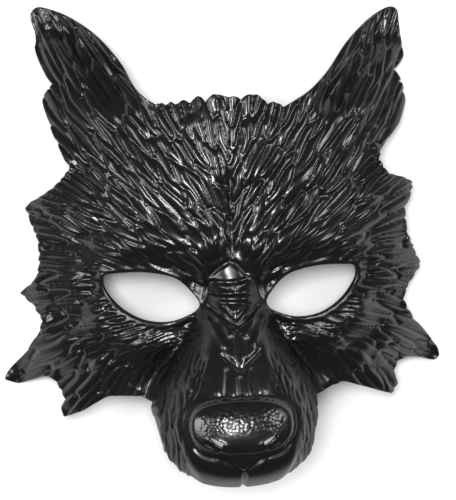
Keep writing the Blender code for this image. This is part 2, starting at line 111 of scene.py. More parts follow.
# The outline. Places are shares of half the width and half the height; roundness 0 is a sharp corner.
# x, y, roundness
LEFT_CHEEK = [
    (-0.397, -0.648, 1.0),
    (-0.535, -0.660, 1.0),
    (-0.592, -0.693, 1.0),
    (-0.664, -0.741, 0.8),
    (-0.740, -0.777, 0.2),
    (-0.747, -0.737, 0.7),
    (-0.733, -0.693, 1.0),
    (-0.762, -0.633, 1.0),
    (-0.808, -0.606, 1.0),
    (-0.947, -0.660, 0.8),
    (-1.000, -0.638, 0.4),
    (-0.977, -0.595, 0.8),
    (-0.907, -0.516, 1.0),
    (-0.855, -0.431, 1.0),
    (-0.811, -0.350, 0.2),
    (-0.855, -0.290, 1.0),
    (-0.908, -0.236, 0.3),
    (-0.834, -0.151, 1.0),
    (-0.816, -0.037, 1.0),
    (-0.840, 0.057, 1.0),
    (-0.871, 0.140, 0.4),
    (-0.858, 0.161, 0.6),
    (-0.736, 0.246, 1.0),
    (-0.668, 0.325, 0.2),
]
LEFT_EAR = [
    (-0.714, 0.424, 1.0),
    (-0.757, 0.533, 1.0),
    (-0.775, 0.611, 1.0),
    (-0.755, 0.643, 1.0),
    (-0.729, 0.675, 0.2),
    (-0.756, 0.712, 1.0),
    (-0.799, 0.813, 1.0),
    (-0.798, 0.886, 1.0),
    (-0.815, 0.963, 1.0),
    (-0.796, 0.994, 1.0),
    (-0.765, 1.000, 1.0),
    (-0.650, 0.958, 1.0),
    (-0.530, 0.877, 1.0),
    (-0.432, 0.768, 1.0),
    (-0.369, 0.657, 1.0),
    (-0.286, 0.593, 0.5),
]
FOREHEAD = [
    (-0.262, 0.600, 1.0),
    (-0.243, 0.589, 0.0),
    (-0.222, 0.603, 1.0),
    (-0.202, 0.592, 0.0),
    (-0.167, 0.609, 1.0),
    (-0.138, 0.597, 0.0),
    (-0.102, 0.625, 1.0),
    (-0.073, 0.602, 0.0),
    (-0.035, 0.630, 1.0),
    (0.022, 0.618, 0.4),
    (0.050, 0.619, 1.0),
    (0.078, 0.606, 0.0),
    (0.106, 0.622, 1.0),
    (0.151, 0.620, 1.0),
    (0.194, 0.584, 0.0),
    (0.222, 0.590, 1.0),
    (0.243, 0.581, 0.2),
    (0.260, 0.567, 0.3),
]
RIGHT_EAR = [
    (0.299, 0.584, 0.8),
    (0.388, 0.633, 1.0),
    (0.480, 0.712, 1.0),
    (0.578, 0.820, 1.0),
    (0.690, 0.906, 1.0),
    (0.782, 0.955, 1.0),
    (0.811, 0.955, 1.0),
    (0.828, 0.936, 1.0),
    (0.838, 0.836, 1.0),
    (0.851, 0.747, 1.0),
    (0.830, 0.715, 1.0),
    (0.803, 0.690, 0.2),
    (0.820, 0.653, 1.0),
    (0.843, 0.577, 1.0),
    (0.835, 0.496, 1.0),
    (0.755, 0.402, 1.0),
]
RIGHT_CHEEK = [
    (0.696, 0.326, 0.2),
    (0.737, 0.256, 1.0),
    (0.830, 0.218, 1.0),
    (0.866, 0.188, 0.3),
    (0.847, 0.135, 1.0),
    (0.824, 0.072, 1.0),
    (0.844, -0.040, 1.0),
    (0.900, -0.171, 0.3),
    (0.848, -0.239, 1.0),
    (0.811, -0.306, 0.2),
    (0.846, -0.390, 1.0),
    (0.909, -0.469, 1.0),
    (0.987, -0.568, 0.8),
    (1.000, -0.618, 0.6),
    (0.972, -0.634, 0.8),
    (0.854, -0.594, 1.0),
    (0.793, -0.596, 1.0),
    (0.766, -0.653, 1.0),
    (0.780, -0.699, 0.7),
    (0.747, -0.733, 0.2),
    (0.679, -0.703, 1.0),
    (0.559, -0.652, 1.0),
    (0.509, -0.633, 1.0),
    (0.437, -0.647, 1.0),
]

# The left eye hole, seen from the front. Shares of half its width, away from the nose, and height.
# x, y, roundness
EYE_ROWS = [
    (0.93, 0.84, 0.8),
    (0.52, 0.98, 1.0),
    (0.00, 1.00, 1.0),
    (-0.54, 0.76, 1.0),
    (-0.87, 0.14, 1.0),
    (-1.00, -0.28, 1.0),
    (-0.86, -0.66, 1.0),
    (-0.36, -0.98, 1.0),
    (0.18, -0.90, 1.0),
    (0.66, -0.40, 1.0),
    (0.95, 0.36, 1.0),
]

# A nostril slot. Shares of its length from its centre, x away from the middle line.
# x, y, roundness
NOSTRIL_ROWS = [
    (0.52, 0.34, 0.3),
    (0.10, 0.22, 0.6),
    (-0.46, -0.05, 0.3),
    (-0.34, -0.34, 0.3),
    (0.08, -0.12, 0.6),
]

# The main folds and dents, each a curve over three places. Places are shares of half the width, from
# the middle line outwards, and of half the height; widths and heights are shares of the fold's.
# name, sides, start x, y, middle x, y, end x, y, width, height
FOLDS = [
    ("ear channel", "left", 0.41, 0.55, 0.55, 0.76, 0.74, 0.95, 1.05, -1.30),
    ("ear channel", "right", 0.41, 0.52, 0.56, 0.70, 0.77, 0.91, 1.05, -1.30),
    ("ear inner edge", "left", 0.33, 0.59, 0.46, 0.78, 0.74, 0.98, 0.70, 0.55),
    ("ear inner edge", "right", 0.34, 0.57, 0.50, 0.70, 0.77, 0.94, 0.70, 0.55),
    ("ear back fold", "left", 0.50, 0.46, 0.64, 0.67, 0.77, 0.90, 1.00, 0.55),
    ("ear back fold", "right", 0.50, 0.45, 0.68, 0.63, 0.80, 0.84, 1.00, 0.55),
    ("ear outer edge", "left", 0.65, 0.45, 0.74, 0.69, 0.79, 0.94, 0.80, 0.35),
    ("ear outer edge", "right", 0.68, 0.41, 0.79, 0.59, 0.81, 0.88, 0.80, 0.35),
    ("brow ridge", "both", 0.04, -0.05, 0.28, 0.02, 0.58, -0.07, 1.50, 0.90),
    ("brow bulge", "both", 0.04, 0.08, 0.10, -0.01, 0.18, -0.06, 1.40, 0.50),
    ("parting", "middle", 0.00, 0.40, 0.00, 0.14, 0.00, -0.06, 0.70, -0.40),
    ("eye socket", "both", 0.13, -0.21, 0.30, -0.19, 0.57, -0.17, 2.60, -1.10),
    ("eye corner", "both", 0.13, -0.13, 0.14, -0.21, 0.15, -0.30, 1.20, -0.70),
    ("cheekbone", "both", 0.14, -0.35, 0.37, -0.41, 0.65, -0.27, 1.50, 0.85),
    ("snout crease", "both", 0.12, -0.32, 0.27, -0.46, 0.39, -0.64, 1.30, -0.70),
    ("temple ridge", "both", 0.55, 0.11, 0.70, 0.16, 0.86, 0.17, 1.00, 0.50),
    ("middle spike ridge", "both", 0.61, -0.13, 0.75, -0.17, 0.90, -0.20, 1.00, 0.45),
    ("cheek spike ridge", "both", 0.64, -0.41, 0.81, -0.52, 0.97, -0.62, 1.10, 0.50),
    ("lower spike ridge", "both", 0.54, -0.46, 0.65, -0.60, 0.74, -0.75, 1.00, 0.50),
    ("temple valley", "both", 0.53, 0.23, 0.61, 0.29, 0.68, 0.33, 0.90, -0.45),
    ("side valley", "both", 0.59, -0.01, 0.70, -0.01, 0.83, -0.02, 1.00, -0.40),
    ("cheek valley", "both", 0.60, -0.28, 0.71, -0.32, 0.81, -0.33, 0.90, -0.45),
    ("lower valley", "both", 0.57, -0.50, 0.69, -0.58, 0.79, -0.60, 0.90, -0.45),
    ("forehead side lock", "both", 0.09, 0.08, 0.26, 0.25, 0.47, 0.33, 1.20, 0.35),
    ("forehead top lock", "both", 0.03, 0.20, 0.12, 0.39, 0.19, 0.54, 1.10, 0.35),
]

# Ridges and grooves of the bridge, the nose and the lip, each over three places, in the same shares.
# Widths and heights are in millimetres.
# name, sides, start x, y, middle x, y, end x, y, width, height
BRIDGE_LINES = [
    ("parting line", "middle", 0.000, 0.330, 0.000, 0.120, 0.000, -0.055, 1.1, -1.50),
    ("plate side", "left", 0.006, -0.055, 0.075, -0.096, 0.115, -0.138, 2.0, -1.16),
    ("plate side", "right", -0.006, -0.055, 0.035, -0.090, 0.068, -0.125, 2.0, -1.16),
    ("plate foot", "middle", -0.111, -0.144, -0.023, -0.148, 0.074, -0.135, 1.6, -0.87),
    ("left lens bump", "middle", -0.100, -0.168, -0.060, -0.163, -0.012, -0.172, 2.8, 0.87),
    ("right lens bump", "middle", 0.018, -0.168, 0.050, -0.160, 0.088, -0.164, 2.8, 0.87),
    ("lens divider", "middle", 0.004, -0.152, 0.006, -0.174, 0.004, -0.193, 1.3, -0.72),
    ("cross groove", "middle", -0.104, -0.195, -0.034, -0.192, 0.055, -0.190, 1.4, -0.80),
    ("cross ridge", "middle", -0.075, -0.211, -0.001, -0.213, 0.075, -0.216, 2.2, 1.09),
    ("thin line", "middle", -0.070, -0.226, 0.002, -0.229, 0.076, -0.238, 1.1, -0.65),
    ("small plate side", "middle", -0.056, -0.236, -0.030, -0.263, 0.002, -0.298, 1.3, -0.72),
    ("small plate side", "middle", 0.054, -0.240, 0.030, -0.265, 0.002, -0.298, 1.3, -0.72),
    ("small plate", "middle", 0.000, -0.243, 0.001, -0.256, 0.002, -0.270, 3.4, 0.80),
    ("upper chevron", "middle", -0.115, -0.246, -0.068, -0.272, 0.006, -0.322, 1.9, -1.09),
    ("upper chevron", "middle", 0.112, -0.246, 0.062, -0.280, 0.006, -0.322, 1.9, -1.09),
    ("bridge groove", "middle", 0.006, -0.322, 0.007, -0.396, 0.008, -0.482, 1.5, -0.87),
    ("lower chevron", "middle", -0.075, -0.420, -0.030, -0.452, 0.008, -0.486, 2.0, -1.01),
    ("lower chevron", "middle", 0.105, -0.411, 0.050, -0.447, 0.008, -0.486, 2.0, -1.01),
    ("plate ridge", "left", 0.080, -0.280, 0.046, -0.315, 0.020, -0.362, 2.4, 0.87),
    ("plate ridge", "right", 0.080, -0.285, 0.055, -0.325, 0.032, -0.365, 2.4, 0.87),
    ("outer plate ridge", "left", 0.122, -0.290, 0.082, -0.345, 0.050, -0.405, 2.4, 0.80),
    ("outer plate ridge", "right", 0.130, -0.290, 0.095, -0.345, 0.064, -0.400, 2.4, 0.80),
    ("middle plate ridge", "both", 0.018, -0.340, 0.022, -0.395, 0.026, -0.445, 2.2, 0.65),
    ("low ridge", "both", 0.024, -0.492, 0.026, -0.538, 0.030, -0.583, 2.8, 0.72),
    ("low ridge, outer", "both", 0.070, -0.452, 0.082, -0.515, 0.098, -0.580, 2.8, 0.58),
    ("low groove", "both", 0.048, -0.470, 0.054, -0.528, 0.064, -0.590, 1.6, -0.58),
    ("low groove, middle", "middle", 0.006, -0.500, 0.005, -0.545, 0.006, -0.592, 1.5, -0.58),
    ("lip groove arm", "both", 0.092, -0.824, 0.038, -0.863, 0.002, -0.894, 1.6, -1.16),
    ("lip groove", "middle", 0.006, -0.890, 0.007, -0.960, 0.007, -1.080, 1.8, -1.30),
    ("nostril upper rim", "both", 0.155, -0.738, 0.105, -0.748, 0.062, -0.772, 1.8, 0.45),
    ("nostril wing", "both", 0.205, -0.770, 0.170, -0.812, 0.095, -0.826, 1.5, -1.01),
    ("nostril slit", "both", 0.165, -0.752, 0.120, -0.776, 0.082, -0.806, 1.2, -0.60),
]

# How the fur flows. Places are shares of half the width, from the middle line outwards, and of half the
# height; a direction is in degrees from straight up, turning outwards; sizes are in millimetres.
# x, y, direction, length of a lock, its half width, height
FUR_FLOW = [
    (0.02, 0.00, 8, 16, 1.5, 0.90),
    (0.10, 0.04, 24, 16, 1.6, 1.00),
    (0.10, 0.18, 27, 17, 1.7, 1.00),
    (0.20, 0.12, 35, 17, 1.7, 1.00),
    (0.28, 0.22, 38, 17, 1.8, 1.00),
    (0.40, 0.14, 46, 17, 1.8, 1.00),
    (0.50, 0.22, 48, 16, 1.8, 1.00),
    (0.46, 0.33, 38, 16, 1.8, 1.00),
    (0.62, 0.14, 62, 16, 1.7, 0.90),
    (0.76, 0.12, 73, 15, 1.6, 0.90),
    (0.61, 0.27, 54, 14, 1.6, 0.90),
    (0.03, 0.33, 14, 15, 1.6, 1.00),
    (0.13, 0.35, 32, 15, 1.7, 1.00),
    (0.26, 0.38, 34, 15, 1.8, 1.00),
    (0.38, 0.40, 36, 16, 1.8, 1.00),
    (0.04, 0.50, 6, 13, 1.5, 1.00),
    (0.18, 0.52, 13, 13, 1.6, 1.00),
    (0.30, 0.52, 24, 14, 1.6, 1.00),
    (0.42, 0.50, 33, 17, 1.7, 0.90),
    (0.20, 0.60, 7, 12, 1.5, 1.00),
    (0.36, 0.62, 34, 18, 1.7, 0.60),
    (0.46, 0.73, 38, 20, 1.8, 0.55),
    (0.51, 0.58, 33, 20, 1.6, 0.80),
    (0.62, 0.53, 38, 19, 1.7, 0.90),
    (0.71, 0.47, 36, 16, 1.7, 0.90),
    (0.60, 0.72, 31, 21, 1.6, 0.80),
    (0.71, 0.68, 25, 19, 1.7, 0.90),
    (0.73, 0.84, 22, 19, 1.6, 0.80),
    (0.79, 0.94, 20, 14, 1.4, 0.60),
    (0.18, -0.06, 50, 14, 1.5, 0.80),
    (0.30, -0.05, 60, 14, 1.6, 0.35),
    (0.45, -0.05, 68, 14, 1.6, 0.35),
    (0.58, -0.03, 78, 15, 1.6, 0.75),
    (0.72, -0.05, 86, 15, 1.7, 0.85),
    (0.60, -0.15, 95, 14, 1.5, 0.75),
    (0.75, -0.17, 101, 15, 1.7, 0.90),
    (0.86, -0.21, 106, 14, 1.6, 0.90),
    (0.60, -0.27, 104, 15, 1.5, 0.80),
    (0.75, -0.32, 114, 15, 1.6, 0.80),
    (0.70, -0.42, 120, 17, 1.8, 0.80),
    (0.85, -0.51, 125, 17, 1.8, 0.85),
    (0.95, -0.60, 122, 15, 1.6, 0.70),
    (0.20, -0.37, 108, 12, 1.2, 0.50),
    (0.35, -0.37, 102, 13, 1.3, 0.55),
    (0.48, -0.33, 97, 13, 1.4, 0.65),
    (0.50, -0.45, 124, 16, 1.7, 0.50),
    (0.45, -0.55, 146, 15, 1.7, 0.40),
    (0.62, -0.58, 140, 16, 1.8, 0.65),
    (0.72, -0.70, 143, 15, 1.6, 0.75),
    (0.38, -0.60, 164, 12, 1.3, 0.40),
    (0.30, -0.50, 158, 11, 1.2, 0.50),
    (0.18, -0.42, 164, 9, 1.2, 0.45),
    (0.20, -0.55, 172, 9, 1.3, 0.45),
    (0.28, -0.65, 178, 9, 1.3, 0.40),
    (0.28, -0.80, 185, 8, 1.2, 0.30),
    (0.15, -0.90, 205, 7, 1.1, 0.12),
]

# Half width of the bare bridge and nose at a place along Y, both as shares
BARE_ROWS = [
    (0.04, -0.05),
    (-0.04, 0.02),
    (-0.12, 0.12),
    (-0.28, 0.13),
    (-0.44, 0.115),
    (-0.58, 0.12),
    (-0.64, 0.22),
    (-0.80, 0.22),
    (-0.95, 0.16),
]

# Single tufts of the muzzle, each over three places from its root to its tip, in the same shares.
# name, sides, root x, y, middle x, y, tip x, y, half width in millimetres, height
FUR_TUFTS = [
    ("curl", "both", 0.20, -0.365, 0.30, -0.335, 0.43, -0.400, 1.5, 0.60),
    ("curl", "both", 0.20, -0.400, 0.29, -0.370, 0.41, -0.440, 1.5, 0.60),
    ("curl", "both", 0.21, -0.435, 0.29, -0.405, 0.39, -0.480, 1.4, 0.60),
    ("curl", "both", 0.23, -0.470, 0.29, -0.445, 0.37, -0.520, 1.4, 0.55),
    ("curl", "both", 0.25, -0.505, 0.30, -0.485, 0.36, -0.555, 1.3, 0.50),
    ("muzzle tuft", "both", 0.18, -0.380, 0.15, -0.450, 0.19, -0.530, 1.6, 0.50),
    ("muzzle tuft", "both", 0.21, -0.460, 0.18, -0.530, 0.23, -0.600, 1.6, 0.50),
    ("muzzle tuft", "both", 0.26, -0.530, 0.23, -0.600, 0.28, -0.660, 1.5, 0.50),
    ("muzzle tuft", "both", 0.15, -0.500, 0.14, -0.545, 0.18, -0.590, 1.5, 0.35),
]

CURVE_STEPS = 14
LOCK_STEPS = 8
LIP_STEPS = 4000
MARGIN = 1.06
NORMAL_STEP = 0.0004

# How a fold or line starts and ends, as a slope and the value that its soft step starts from
FOLD_START = (3.5, 0.12)
FOLD_END = (4.0, 0.3)
LINE_END = (6.0, 0.2)

# The nose pad. Its oval is 1 on the pad's edge; widths are in metres.
NOSE_OVAL_LIMIT = 1.6
NOSE_GROOVE_WIDTH = 0.0011
NOSE_DOME_BLEND = 0.001
LEATHER_START = 0.045
LEATHER_BLEND = 0.05
LEATHER_OVAL = 0.92
LEATHER_OVAL_BLEND = 0.2

# Where the fur starts: shares of half the width, the nose pad's oval, and metres from an eye hole
BARE_BLEND = 0.05
NOSE_FUR_START = 1.05
NOSE_FUR_BLEND = 0.35
EYE_FUR_START = 0.0009
EYE_FUR_BLEND = 0.0028
EYE_FUR_REACH = 0.006

# Placing of the locks. Room is a share of a lock's length and of its half width.
FLOW_SOFTENING = 0.0016
FUR_TRIES = 16000
LEAST_FUR = 0.25
PARTING_GAP = 0.0012
ROOM_ALONG = 0.60
ROOM_ACROSS = 1.60
SIZE_SPREAD = (0.8, 1.25)
HEIGHT_SPREAD = (0.75, 1.2)
LARGEST_BEND = 0.30
BEND_STEP = 0.8

# The locks' claims on the surface
FLOOR_CLAIM = -2.0
CLAIM_REACH = 1.7
END_DROP = 0.35
LEAST_SLOPE = 100.0

# A wall counts as steep as its normal's upright part falls below this value, over this much
STEEP_START = 0.80
STEEP_BLEND = 0.45

# The plastic's patterns. Scales are in turns a metre, depths in metres.
CLOUD_SCALE = 60.0
GRAIN_SCALE = 900.0
GRAIN_DEPTH = 0.0001
SKIN_SCALE = 560.0
SKIN_DEPTH = 0.0006
SMOOTHEST = -0.07
ROUGHEST = 0.09
STEEP_ROUGHER = 0.16
LEVEL_SHINE = 0.5
STEEP_SHINE = 0.10

# The stage, in metres
FLOOR_HALF = 6.0
FLOOR_ROUGHNESS = 0.9
NEAREST_SEEN = 0.01
LIGHT_AIM = (0.0, -0.01, 0.03)
# name, place, size, which power
SOFTBOXES = [
    ("key_softbox", (-0.14, 0.26, 1.25), 0.28, "key_power"),
    ("right_softbox", (0.80, 0.35, 0.80), 0.35, "fill_power"),
    ("left_softbox", (-0.85, 0.15, 0.75), 0.35, "fill_power"),
]


class WolfMaskForm(bpy.types.PropertyGroup):
    """Sizes of the moulded face."""

    width: FloatProperty(
        name="Width", description="Across the tips of the cheeks", unit="LENGTH",
        default=SHELL_HIGH.x - SHELL_LOW.x)
    height: FloatProperty(
        name="Height", description="From the ear tips to the lip", unit="LENGTH",
        default=SHELL_HIGH.y - SHELL_LOW.y)
    midline: FloatProperty(
        name="Middle line", description="Place of the face's middle line", unit="LENGTH", default=0.0016)
    brow: FloatProperty(
        name="Brow", description="Height of the brow over the surface", unit="LENGTH", default=0.060)
    snout_height: FloatProperty(
        name="Snout height", description="Height of the snout's ridge", unit="LENGTH", default=0.093)
    snout_width: FloatProperty(
        name="Snout width", description="Width of the snout", unit="LENGTH", default=0.072)
    snout_rounding: FloatProperty(
        name="Snout rounding", description="How far the snout's roof falls to its walls",
        unit="LENGTH", default=0.030)
    sheet_blend: FloatProperty(
        name="Blend", description="Rounding where the snout meets the cheeks", unit="LENGTH", default=0.010)
    foot_rounding: FloatProperty(
        name="Tip rounding", description="Rounding where the tips level out", unit="LENGTH", default=0.007)
    lip_height: FloatProperty(
        name="Lip", description="Height of the lip at the cheeks", unit="LENGTH", default=0.050)
    lip_rise: FloatProperty(
        name="Lip rise", description="How much higher the lip is at the front", unit="LENGTH", default=0.022)
    throat_width: FloatProperty(
        name="Throat", description="Half width of the gap behind the lip", unit="LENGTH", default=0.052)
    throat_depth: FloatProperty(
        name="Throat depth", description="How far the sheet drops behind the lip",
        unit="LENGTH", default=0.030)
    throat_edge: FloatProperty(
        name="Throat edge", description="Length over which it drops", unit="LENGTH", default=0.009)
    wall: FloatProperty(
        name="Wall", description="Thickness of the plastic", unit="LENGTH", default=0.0020)
    eye_width: FloatProperty(
        name="Eye width", description="Length of an eye hole", unit="LENGTH", default=0.0445)
    eye_height: FloatProperty(
        name="Eye height", description="Height of an eye hole", unit="LENGTH", default=0.0228)
    eye_spread: FloatProperty(
        name="Eye spread", description="From the middle line to an eye's centre",
        unit="LENGTH", default=0.0375)
    eye_rim: FloatProperty(
        name="Eye rim", description="Height of the rim round an eye", unit="LENGTH", default=0.0012)
    eye_rim_width: FloatProperty(
        name="Eye rim width", description="Width of that rim", unit="LENGTH", default=0.006)
    fold_width: FloatProperty(
        name="Fold width", description="Half width of a main fold", unit="LENGTH", default=0.010)
    fold_height: FloatProperty(
        name="Fold height", description="Height of a main fold", unit="LENGTH", default=0.004)
    nose_width: FloatProperty(
        name="Nose width", description="Width of the nose pad", unit="LENGTH", default=0.047)
    nose_length: FloatProperty(
        name="Nose length", description="Length of the nose pad", unit="LENGTH", default=0.024)
    nose_rise: FloatProperty(
        name="Nose rise", description="Height of the nose pad", unit="LENGTH", default=0.0045)
    nose_edge: FloatProperty(
        name="Nose edge", description="Width of the pad's soft edge", unit="LENGTH", default=0.0035)
    nose_dome: FloatProperty(
        name="Nose dome", description="How far the pad falls to its edge", unit="LENGTH", default=0.0018)
    nose_groove: FloatProperty(
        name="Nose groove", description="Depth of the groove round the pad", unit="LENGTH", default=0.0009)
    nostril_length: FloatProperty(
        name="Nostril", description="Length of a nostril slot", unit="LENGTH", default=0.0066)
    nostril_spread: FloatProperty(
        name="Nostril spread", description="From the middle line to a nostril",
        unit="LENGTH", default=0.0118)
    front_step: FloatProperty(
        name="Front grid", description="Size of the front's facets", unit="LENGTH", default=0.00068)
    back_step: FloatProperty(
        name="Back grid", description="Size of the inner side's facets", unit="LENGTH", default=0.0020)


class WolfMaskFur(bpy.types.PropertyGroup):
    """Sizes of the sculpted fur."""

    height: FloatProperty(
        name="Lock height", description="Height of a lock at its crest", unit="LENGTH", default=0.0014)
    step: FloatProperty(
        name="Overlap", description="Height of a lock's tip over the next one", unit="LENGTH",
        default=0.0006)
    width: FloatProperty(
        name="Lock width", description="Widths of the locks, as a share of the table's", default=1.25)
    length: FloatProperty(
        name="Lock length", description="Lengths of the locks, as a share of the table's", default=1.60)
    sink: FloatProperty(
        name="Sink", description="How far the fur is let into the form", unit="LENGTH", default=0.0012)
    valley: FloatProperty(
        name="Valley", description="Width of the valleys between locks", unit="LENGTH", default=0.0006)
    slant: FloatProperty(
        name="Slant", description="Steepest sideways slope of a lock's top", default=0.20)
    seed: IntProperty(name="Seed", description="Picks the locks' small differences", default=7)


class WolfMaskFinish(bpy.types.PropertyGroup):
    """Finish of the plastic."""

    colour: FloatVectorProperty(
        name="Colour", description="Colour of the plastic", subtype="COLOR", size=3,
        default=(0.0045, 0.0045, 0.0055))
    roughness: FloatProperty(
        name="Roughness", description="Blur of the plastic's shine", subtype="FACTOR", default=0.24)
    grain: FloatProperty(
        name="Grain", description="Strength of the fine moulded grain", subtype="FACTOR", default=0.06)
    leather: FloatProperty(
        name="Nose leather", description="Strength of the bumps on the nose", subtype="FACTOR",
        default=0.35)


class WolfMaskStage(bpy.types.PropertyGroup):
    """Camera, light and floor."""

    distance: FloatProperty(
        name="Distance", description="From the camera to the mask", unit="LENGTH", default=0.9)
    turn: FloatProperty(
        name="Turn", description="Camera towards the left ear", subtype="ANGLE",
        default=math.radians(-4.0))
    tilt: FloatProperty(
        name="Tilt", description="Camera towards the ears", subtype="ANGLE", default=math.radians(9.0))
    roll: FloatProperty(
        name="Roll", description="Turn of the picture", subtype="ANGLE", default=math.radians(-1.6))
    target: FloatVectorProperty(
        name="Target", description="Place in the middle of the picture", unit="LENGTH", size=3,
        precision=5, default=(0.0017, -0.00595, 0.030))
    lens: FloatProperty(name="Lens", description="Focal length in millimetres", default=139.67)
    floor_colour: FloatVectorProperty(
        name="Floor colour", description="Colour of the surface", subtype="COLOR", size=3,
        default=(0.92, 0.92, 0.93))
    key_power: FloatProperty(
        name="Key", description="Power of the main softbox in watts", unit="POWER", default=15.0)
    fill_power: FloatProperty(
        name="Fill", description="Power of each side softbox in watts", unit="POWER", default=5.0)
    sky: FloatProperty(
        name="Sky", description="Strength of the even light all round", default=0.10)


def columns(rows):
    """Turn a table's rows of numbers into one array for each column."""
    return [np.array(column, dtype=float) for column in zip(*rows)]


def curve_through(places, values, at):
    """Read a curve made of cubics that pass through the values.

    Its slope at each value is the weighted harmonic mean of the slopes on both sides, or 0 at a peak,
    so it never swings beyond the values.
    """
    order = np.argsort(places)
    xs = places[order]
    ys = values[order]
    widths = np.diff(xs)
    slopes = np.diff(ys) / widths
    left, right = slopes[:-1], slopes[1:]
    near = 2 * widths[1:] + widths[:-1]
    far = widths[1:] + 2 * widths[:-1]
    same_way = left * right > 0
    safe_left = np.where(same_way, left, 1.0)
    safe_right = np.where(same_way, right, 1.0)
    middle = np.where(same_way, (near + far) / (near / safe_left + far / safe_right), 0.0)
    tangents = np.concatenate([slopes[:1], middle, slopes[-1:]])
    at = np.clip(at, xs[0], xs[-1])
    k = np.clip(np.searchsorted(xs, at) - 1, 0, len(widths) - 1)
    t = (at - xs[k]) / widths[k]
    start = (1 + 2 * t) * (1 - t) ** 2 * ys[k] + t * (1 - t) ** 2 * widths[k] * tangents[k]
    end = t * t * (3 - 2 * t) * ys[k + 1] + t * t * (t - 1) * widths[k] * tangents[k + 1]
    return start + end


def blend_higher(first, second, radius):
    """The higher of two heights, with a parabola of the given reach over the place where they meet."""
    share = np.clip(0.5 + 0.5 * (first - second) / radius, 0.0, 1.0)
    return second + (first - second) * share + radius * share * (1 - share)


def soft_step(value):
    """A step from 0 to 1 as three squares less two cubes of the value, so it starts and ends level."""
    value = np.clip(value, 0.0, 1.0)
    return value * value * (3 - 2 * value)


def fade_ends(along, start, end):
    """A soft step up from a line's start times one down to its end, each a slope and a first value."""
    return soft_step(start[0] * along + start[1]) * soft_step(end[0] * (1 - along) + end[1])


def bow(start, middle, end, steps):
    """Points on the parabola that starts and ends at two places and passes the middle one halfway."""
    t = np.linspace(0.0, 1.0, steps)[:, None]
    start, middle, end = np.array(start), np.array(middle), np.array(end)
    pull = 2 * middle - 0.5 * start - 0.5 * end
    return (1 - t) ** 2 * start + 2 * t * (1 - t) * pull + t * t * end


def along_line(points, line):
    """Signed distance from points to a line of short pieces, and the share of it at the nearest spot.

    The distance is that to the nearest spot of the nearest piece; its sign is that of the cross
    product of the piece with the way to the point, so it is positive on the line's left.
    """
    starts, steps = line[:-1], np.diff(line, axis=0)
    lengths = np.maximum((steps ** 2).sum(axis=1), 1e-12)
    offset = points[:, None, :] - starts[None, :, :]
    share = np.clip((offset * steps).sum(axis=2) / lengths, 0.0, 1.0)
    gap = np.linalg.norm(offset - share[:, :, None] * steps, axis=2)
    nearest = gap.argmin(axis=1)
    rows = np.arange(len(points))
    way = offset[rows, nearest]
    piece = steps[nearest]
    side = np.where(piece[:, 0] * way[:, 1] - piece[:, 1] * way[:, 0] < 0, -1.0, 1.0)
    return side * gap[rows, nearest], (nearest + share[rows, nearest]) / len(steps)


def close_to(points, line, reach):
    """Numbers of the points within reach of a line's bounding rectangle."""
    low, high = line.min(axis=0) - reach, line.max(axis=0) + reach
    return np.nonzero(((points > low) & (points < high)).all(axis=1))[0]


def round_through(rows, spacing, closed=True):
    """Points along cubics through the rows of a table of x, y and roundness, about one each spacing.

    Each cubic leaves a row along the line between its two neighbours, times the row's roundness.
    """
    rows = np.array(rows, dtype=float)
    places, roundness = rows[:, :2], rows[:, 2:]
    if closed:
        before, after = np.roll(places, 1, axis=0), np.roll(places, -1, axis=0)
    else:
        before = np.vstack([places[:1], places[:-1]])
        after = np.vstack([places[1:], places[-1:]])
    reach_in = np.linalg.norm(places - before, axis=1, keepdims=True)
    reach_out = np.linalg.norm(after - places, axis=1, keepdims=True)
    tangent = (after - before) / np.maximum(reach_in + reach_out, 1e-9) * roundness
    points = []
    count = len(places) if closed else len(places) - 1
    for i in range(count):
        j = (i + 1) % len(places)
        length = np.linalg.norm(places[j] - places[i])
        steps = max(1, int(round(length / spacing)))
        t = (np.arange(steps) / steps)[:, None]
        points.append((1 + 2 * t) * (1 - t) ** 2 * places[i] + t * t * (3 - 2 * t) * places[j]
                      + t * (1 - t) ** 2 * length * tangent[i] + t * t * (t - 1) * length * tangent[j])
    if not closed:
        points.append(places[-1:])
    return np.vstack(points)


